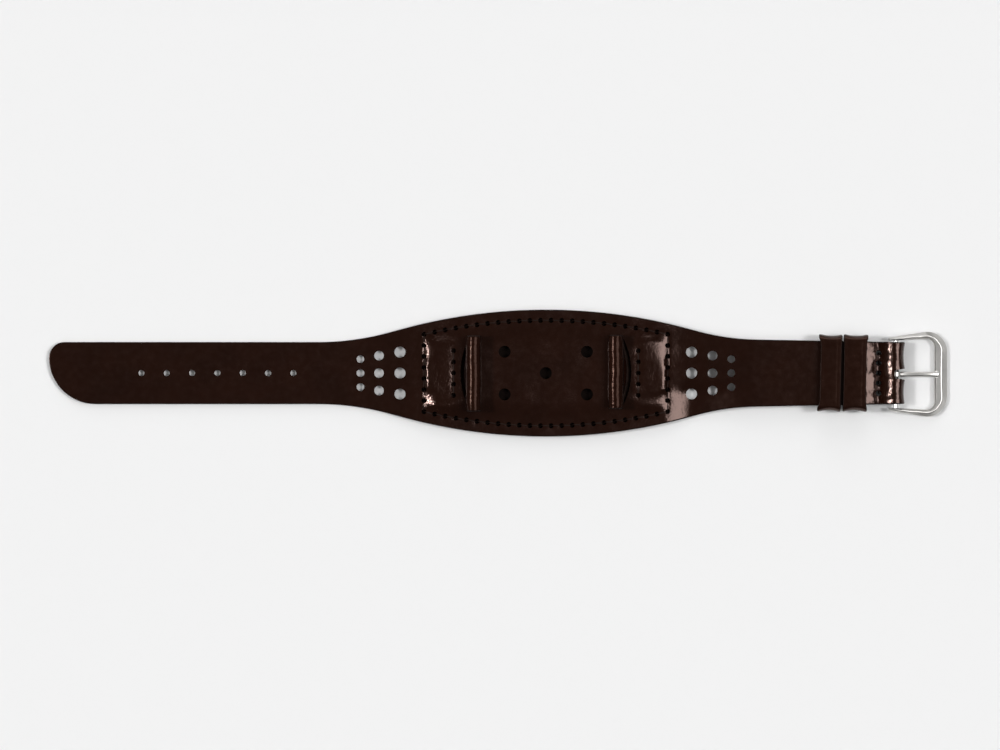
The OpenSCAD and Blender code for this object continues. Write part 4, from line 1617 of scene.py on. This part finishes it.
@dataclass
class Stitching:
    """Waxed thread, which runs between stitch holes on the grain side and on the wrist side."""

    plan: StrapPlan
    thread_r: float = 0.16
    slant: float = 0.14
    rings: int = 13
    sides: int = 8
    low_z: float = 0.24

    def blank(self) -> bpy.types.Object:
        """One straight run with its rings a millimetre apart, which all the runs are copies of.

        Returns:
            The run.
        """
        piece = start_from(
            bpy.ops.mesh.primitive_circle_add, vertices=self.sides, radius=1, fill_type="NGON",
        )
        with edit_mode():
            for _ in range(self.rings - 1):
                bpy.ops.mesh.extrude_region_move(TRANSFORM_OT_translate={"value": (0, 0, 1)})
            bpy.ops.mesh.select_all(action="SELECT")
            bpy.ops.mesh.normals_make_consistent(inside=False)
        return piece

    def line(self, start: Point, end: Point, slanted: bool, on_top: bool) -> np.ndarray:
        """The middle line of one run, out of one hole, along the surface and into the next.

        Args:
            start: The first hole.
            end: The next hole.
            slanted: Whether the run lies at a slight slant to the row.
            on_top: Whether it lies on the grain side.

        Returns:
            One point for each ring.
        """
        a, b = np.array(start), np.array(end)
        length = float(np.linalg.norm(b - a))
        along = (b - a) / length
        across = np.array([-along[1], along[0]])
        heights = [
            (0.0, -1.45), (0.24, -1.2), (0.35, -0.85), (0.43, -0.5), (0.56, -0.19), (0.82, -0.05),
            (length / 2, -0.02),
        ]
        heights += [(length - run, rise) for run, rise in reversed(heights[:-1])]
        run, rise = np.array(heights).T
        off = self.slant * (1 - 2 * run / length) if slanted else np.zeros_like(run)
        x, y = (a + np.outer(run, along) + np.outer(off, across)).T
        if on_top:
            return np.column_stack([x, y, self.plan.face(x, y) + rise])
        return np.column_stack([x, y, self.low_z - np.minimum(rise, 0.0) * 0.9])

    def rows(self, holes: list[Point], is_round: bool) -> bpy.types.Object:
        """Sews along a row of holes.

        Args:
            holes: The holes in order.
            is_round: Whether the seam runs right round, with its last hole joined to the first. Each
                of its runs then lies at a slight slant.

        Returns:
            All the runs as one piece.
        """
        pairs = list(zip(holes, holes[1:]))
        if is_round:
            pairs.append((holes[-1], holes[0]))
        first = self.blank()
        grid = points_of(first)
        ring = np.rint(grid[:, 2]).astype(int)
        runs = []
        for start, end in pairs:
            for on_top in (True, False):
                line = self.line(start, end, is_round, on_top)
                run = np.gradient(line, axis=0)
                run /= np.linalg.norm(run, axis=1, keepdims=True)
                side = np.array([start[1] - end[1], end[0] - start[0], 0.0])
                side /= np.linalg.norm(side)
                up = np.cross(run, side)
                copy = bpy.data.objects.new("thread_run", first.data.copy())
                bpy.context.scene.collection.objects.link(copy)
                set_points(
                    copy,
                    line[ring]
                    + self.thread_r * grid[:, :1] * side
                    + self.thread_r * 0.85 * grid[:, 1:2] * up[ring],
                )
                runs.append(copy)
        bpy.data.objects.remove(first)
        piece = join(runs)
        close_up(piece)
        return piece

    def build(self, wardrobe: Wardrobe) -> None:
        """Sews the pad, both lug loops and the fold.

        Args:
            wardrobe: Where the finishes hang.
        """
        plan = self.plan
        seams = [
            ("pad_stitches", "pad_thread", plan.pad_holes(), True),
            ("loop_stitches_tail_side", "loop_thread_tail_side", plan.loop_row(-1), False),
            ("loop_stitches_buckle_side", "loop_thread_buckle_side", plan.loop_row(1), False),
            ("fold_stitches", "turnback_thread", plan.row(plan.sew_x, plan.sew_pitch), False),
        ]
        for name, node, holes, is_round in seams:
            piece = self.rows(holes, is_round)
            wardrobe.wear(piece, BROWN_THREAD)
            hand_over(piece, name, Body.STRAP, [node], 60.0)


def tube(sections: np.ndarray) -> bpy.types.Object:
    """Rolls a grid into a closed bar that runs through a row of matched sections.

    Args:
        sections: The points, as (section, point round it, xyz).

    Returns:
        The bar, with its ends filled.
    """
    count, around = sections.shape[:2]
    piece = start_from(
        bpy.ops.mesh.primitive_grid_add, x_subdivisions=count - 1, y_subdivisions=around, size=2,
    )
    grid = points_of(piece)
    column = np.rint((grid[:, 0] + 1) / 2 * (count - 1)).astype(int)
    place = np.rint((grid[:, 1] + 1) / 2 * around).astype(int) % around
    set_points(piece, sections[column, place])
    with edit_mode():
        bpy.ops.mesh.remove_doubles(threshold=1e-5)
        bpy.ops.mesh.select_all(action="DESELECT")
        bpy.ops.mesh.select_non_manifold(extend=False)
        bpy.ops.mesh.edge_face_add()
        bpy.ops.mesh.select_all(action="SELECT")
        bpy.ops.mesh.normals_make_consistent(inside=False)
    return piece


@dataclass
class Buckle:
    """The pin buckle: a bevelled frame and a tang, both on the spring bar's axis."""

    pivot: tuple[float, float, float] = (90.2, -0.3, 2.4)
    lean: float = 5.80
    arm_end: float = -1.9
    arm_outer: float = 9.42
    arm_inner: float = 8.66
    half_t: float = 1.0
    dish: float = 0.115
    arm_dish: float = 0.27
    corner: Point = (8.2, 5.74)
    corner_r: float = 5.2
    corner_from: float = 98.3
    window: Point = (7.9, 6.95)
    window_r: float = 2.2
    bore_r: float = 0.45
    rest_half: float = 0.85
    rest_z: float = 0.5
    rest_x: tuple[float, float] = (9.1, 11.55)
    eye_r: float = 1.4
    eye_bore: float = 0.8
    eye_half: float = 0.65
    tip_r: float = 0.72
    tip_x: float = 10.68
    blade_t: float = 0.9
    arm_stations: tuple[float, ...] = (0.0, 0.003, 0.013, 0.035, 0.07, 0.107)
    arm_growth: float = 0.35
    bevel: Point = (0.45, 1.6)
    bevel_drop: Point = (0.5, 1.2)
    lip_drop: float = 0.42
    edge_cut: float = 0.11
    crest_cut: float = 0.22

    CREST: ClassVar[int] = 2
    LIP: ClassVar[int] = 3

    def settle(self, piece: bpy.types.Object) -> None:
        """Turns a piece about the spring bar to where it lies, and puts it on the bar."""
        piece.data.transform(Matrix.Rotation(math.radians(self.lean), 4, "Y"))
        piece.data.transform(Matrix.Translation(self.pivot))

    def walls(self) -> np.ndarray:
        """Outer and inner points of the frame's upper half, from the arm's end to the middle of the bar.

        Returns:
            Rows of the outer x and y, the inner x and y, and how far the wide bevel has grown.
        """
        start = np.radians(self.corner_from)
        corner, window = np.array(self.corner), np.array(self.window)
        outer_end = corner + self.corner_r * np.array([math.cos(start), math.sin(start)])
        inner_end = window + np.array([0.0, self.window_r])
        share = np.concatenate([self.arm_stations, np.linspace(0.15, 1, 12)])[:, None]
        arm = np.hstack([
            np.array([self.arm_end, self.arm_outer]) * (1 - share) + outer_end * share,
            np.array([self.arm_end, self.arm_inner]) * (1 - share) + inner_end * share,
            self.arm_growth * smooth((share - 0.45) / 0.55),
        ])
        turn = np.linspace(0, 1, 26)[1:]
        out_a, in_a = start * (1 - turn), math.pi / 2 * (1 - turn)
        bend = np.column_stack([
            corner[0] + self.corner_r * np.cos(out_a), corner[1] + self.corner_r * np.sin(out_a),
            window[0] + self.window_r * np.cos(in_a), window[1] + self.window_r * np.sin(in_a),
            self.arm_growth + (1 - self.arm_growth) * smooth(turn / 0.6),
        ])
        fall = np.linspace(0, 1, 9)[1:, None]
        last = bend[-1]
        middle = np.array([last[0], 0.0, last[2], 0.0, 1.0])
        return np.vstack([arm, bend, last * (1 - fall) + middle * fall])

    def section(self, wide: float, grown: float) -> np.ndarray:
        """One section of the frame, its corners softened, as (distance from the outer edge, height).

        Args:
            wide: The frame's width there.
            grown: How far the wide bevel has grown, from 0 to 1.

        Returns:
            The section's points in order.
        """
        plain = 1 - grown
        arm_bevel, bar_bevel = self.bevel
        arm_drop, bar_drop = self.bevel_drop
        bevel = min(arm_bevel * plain + bar_bevel * grown, 0.55 * wide)
        drop = arm_drop * plain + bar_drop * grown
        lip = min(0.3 + 0.2 * plain, (0.2 + 0.08 * plain) * wide)
        top = self.half_t
        dish = (wide - lip - bevel) * (self.dish * grown + self.arm_dish * plain)
        corners = np.array([
            (0.0, -top + 0.3), (0.0, top - drop), (bevel, top), (wide - lip, top - dish),
            (wide, top - dish - self.lip_drop), (wide, -top + 0.3), (wide - 0.25, -top), (0.25, -top),
        ])
        before, after = np.roll(corners, 1, 0), np.roll(corners, -1, 0)
        cut = np.full((len(corners), 1), self.edge_cut)
        cut[self.CREST], cut[self.LIP] = self.crest_cut, 0.015 + 0.05 * plain
        into = (before - corners) / np.linalg.norm(before - corners, axis=1, keepdims=True)
        out = (after - corners) / np.linalg.norm(after - corners, axis=1, keepdims=True)
        near, far = corners + into * cut, corners + out * cut
        mid = 0.5 * corners + 0.25 * (near + far)
        return np.stack([near, mid, far], axis=1).reshape(-1, 2)

    def frame(self, wardrobe: Wardrobe) -> bpy.types.Object:
        """Makes the frame.

        Args:
            wardrobe: Where the finishes hang.

        Returns:
            The frame.
        """
        upper = self.walls()
        lower = upper[:-1][::-1] * np.array([1, -1, 1, -1, 1])
        sections = []
        for outer_x, outer_y, inner_x, inner_y, grown in np.vstack([upper, lower]):
            outer, inner = np.array([outer_x, outer_y]), np.array([inner_x, inner_y])
            wide = float(np.linalg.norm(inner - outer))
            profile = self.section(wide, float(grown))
            flat = outer + (inner - outer) * (profile[:, :1] / wide)
            near_end = min(outer_x - self.arm_end, 1.0)
            tall = math.sqrt(max(1 - (1 - near_end) ** 2, 0.0008))
            sections.append(np.column_stack([flat, profile[:, 1] * tall]))
        piece = tube(np.array(sections))
        cut_away(piece, [lathe([(self.bore_r, -12.0), (self.bore_r, 12.0)], (0, 0, 0), axis="Y")])
        a, b = self.rest_x
        seat = [
            (a - 0.6, self.rest_half), (a - 0.6, -self.rest_half),
            *((b - self.rest_half + self.rest_half * math.cos(t), self.rest_half * math.sin(t))
              for t in np.linspace(-math.pi / 2, math.pi / 2, 13)),
        ]
        cut_away(piece, [prism(seat, self.rest_z, 3.0)])
        self.settle(piece)
        wardrobe.wear(piece, SATIN_STEEL)
        return hand_over(piece, "bevelled_frame", Body.BUCKLE_FRAME, ["buckle_frame"], 50.0)

    def tang(self, wardrobe: Wardrobe) -> bpy.types.Object:
        """Makes the tang, an eye with a round-backed blade that thickens into a rounded tip.

        Args:
            wardrobe: Where the finishes hang.

        Returns:
            The tang.
        """
        turn = np.linspace(0, 2 * math.pi, 25)[:-1]
        ends = np.sqrt(np.clip(1 - np.linspace(0.0, 0.999, 7) ** 2, 0, 1))[1:]
        count = 26
        tip = self.tip_x + self.tip_r * np.linspace(0, 0.999, 7)[1:]
        x = np.concatenate([np.linspace(1.0, self.tip_x, count), tip])
        grow = np.concatenate([np.ones(count), ends])
        places = [1.0, 3.0, 8.6, 10.0, self.tip_x, 12.0]
        half_w = np.interp(x, places, [0.65, 0.63, 0.6, 0.67, self.tip_r, self.tip_r])
        low = -0.1 + (self.rest_z + 0.15) * smooth((x - 1) / 8.5)
        half_h = self.blade_t / 2
        sections = np.stack([
            np.column_stack([
                np.full_like(turn, at),
                w * g * np.sign(np.cos(turn)) * np.abs(np.cos(turn)) ** 0.8,
                under + half_h + half_h * g * np.sign(np.sin(turn)) * np.abs(np.sin(turn)) ** 0.8,
            ])
            for at, w, g, under in zip(x, half_w, grow, low)
        ])
        blade = tube(sections)
        r, bore, half = self.eye_r, self.eye_bore, self.eye_half
        profile = [
            (bore, -half + 0.1), (bore + 0.1, -half), (r - 0.2, -half), (r - 0.06, -half + 0.06),
            (r, -half + 0.2), (r, half - 0.2), (r - 0.06, half - 0.06), (r - 0.2, half),
            (bore + 0.1, half), (bore, half - 0.1),
            (bore, -half + 0.1),
        ]
        eye = lathe(profile, (0, 0, 0), steps=40, axis="Y", closed=False)
        finish_with(eye, "BOOLEAN", operation="UNION", solver="EXACT", object=blade)
        bpy.data.objects.remove(blade)
        self.settle(eye)
        wardrobe.wear(eye, SATIN_STEEL)
        return hand_over(eye, "buckle_pin", Body.BUCKLE_TANG, ["buckle_tang"], 35.0)

    def build(self, wardrobe: Wardrobe) -> None:
        """Makes the frame and the tang."""
        self.frame(wardrobe)
        self.tang(wardrobe)


@dataclass
class SpringBar:
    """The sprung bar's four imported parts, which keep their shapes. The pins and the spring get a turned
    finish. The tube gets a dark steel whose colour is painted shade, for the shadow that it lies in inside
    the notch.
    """

    parts: tuple[str, ...] = (
        "spring_bar_tube", "spring_bar_spring", "spring_bar_pin_upper", "spring_bar_pin_lower",
    )

    def build(self, nodes: dict[str, bpy.types.Object], wardrobe: Wardrobe) -> None:
        """Dresses the bar's parts.

        Args:
            nodes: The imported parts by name.
            wardrobe: Where the finishes hang.
        """
        for part in self.parts:
            # The tube's dark steel is painted shade. The pins and the spring are plain turned steel.
            wardrobe.wear(nodes[part], NOTCH_SHADE_STEEL if part == "spring_bar_tube" else TURNED_STEEL)
            log.info("%s: turned finish", part)


def main() -> None:
    """Builds every sub-assembly of the strap in order, and the studio round it."""
    logging.basicConfig(level=logging.INFO, format="%(message)s")
    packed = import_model()
    plan, wardrobe = StrapPlan(), Wardrobe()
    Studio().build()
    StrapLeather(plan).build(wardrobe)
    PadInside(plan).build(wardrobe)
    LugLoop(
        plan, side=-1, name="rolled_loop_tail_side", node="lug_loop_tail_side",
        axis_x=18.6, axis_z=6.0, length=19.5, shift=-0.1,
    ).build(wardrobe)
    LugLoop(
        plan, side=1, name="rolled_loop_buckle_side", node="lug_loop_buckle_side",
        axis_x=18.0, axis_z=5.4, length=19.0, shift=0.3, slit_gap=1.05,
    ).build(wardrobe)
    Keeper(
        name="fixed_band", node="fixed_keeper", body=Body.STRAP,
        start_x=76.7, width=5.8, low=1.2, inside_low=2.3, skew=1.2,
    ).build(wardrobe)
    Keeper(
        name="sliding_band", node="sliding_keeper", body=Body.SLIDING_KEEPER,
        start_x=70.7, width=5.3, low=1.15, inside_low=2.25, skew=1.5, flare=(0.6, 0.1),
    ).build(wardrobe)
    Stitching(plan).build(wardrobe)
    Buckle().build(wardrobe)
    SpringBar().build(packed["nodes"], wardrobe)


if __name__ == "__main__":
    main()
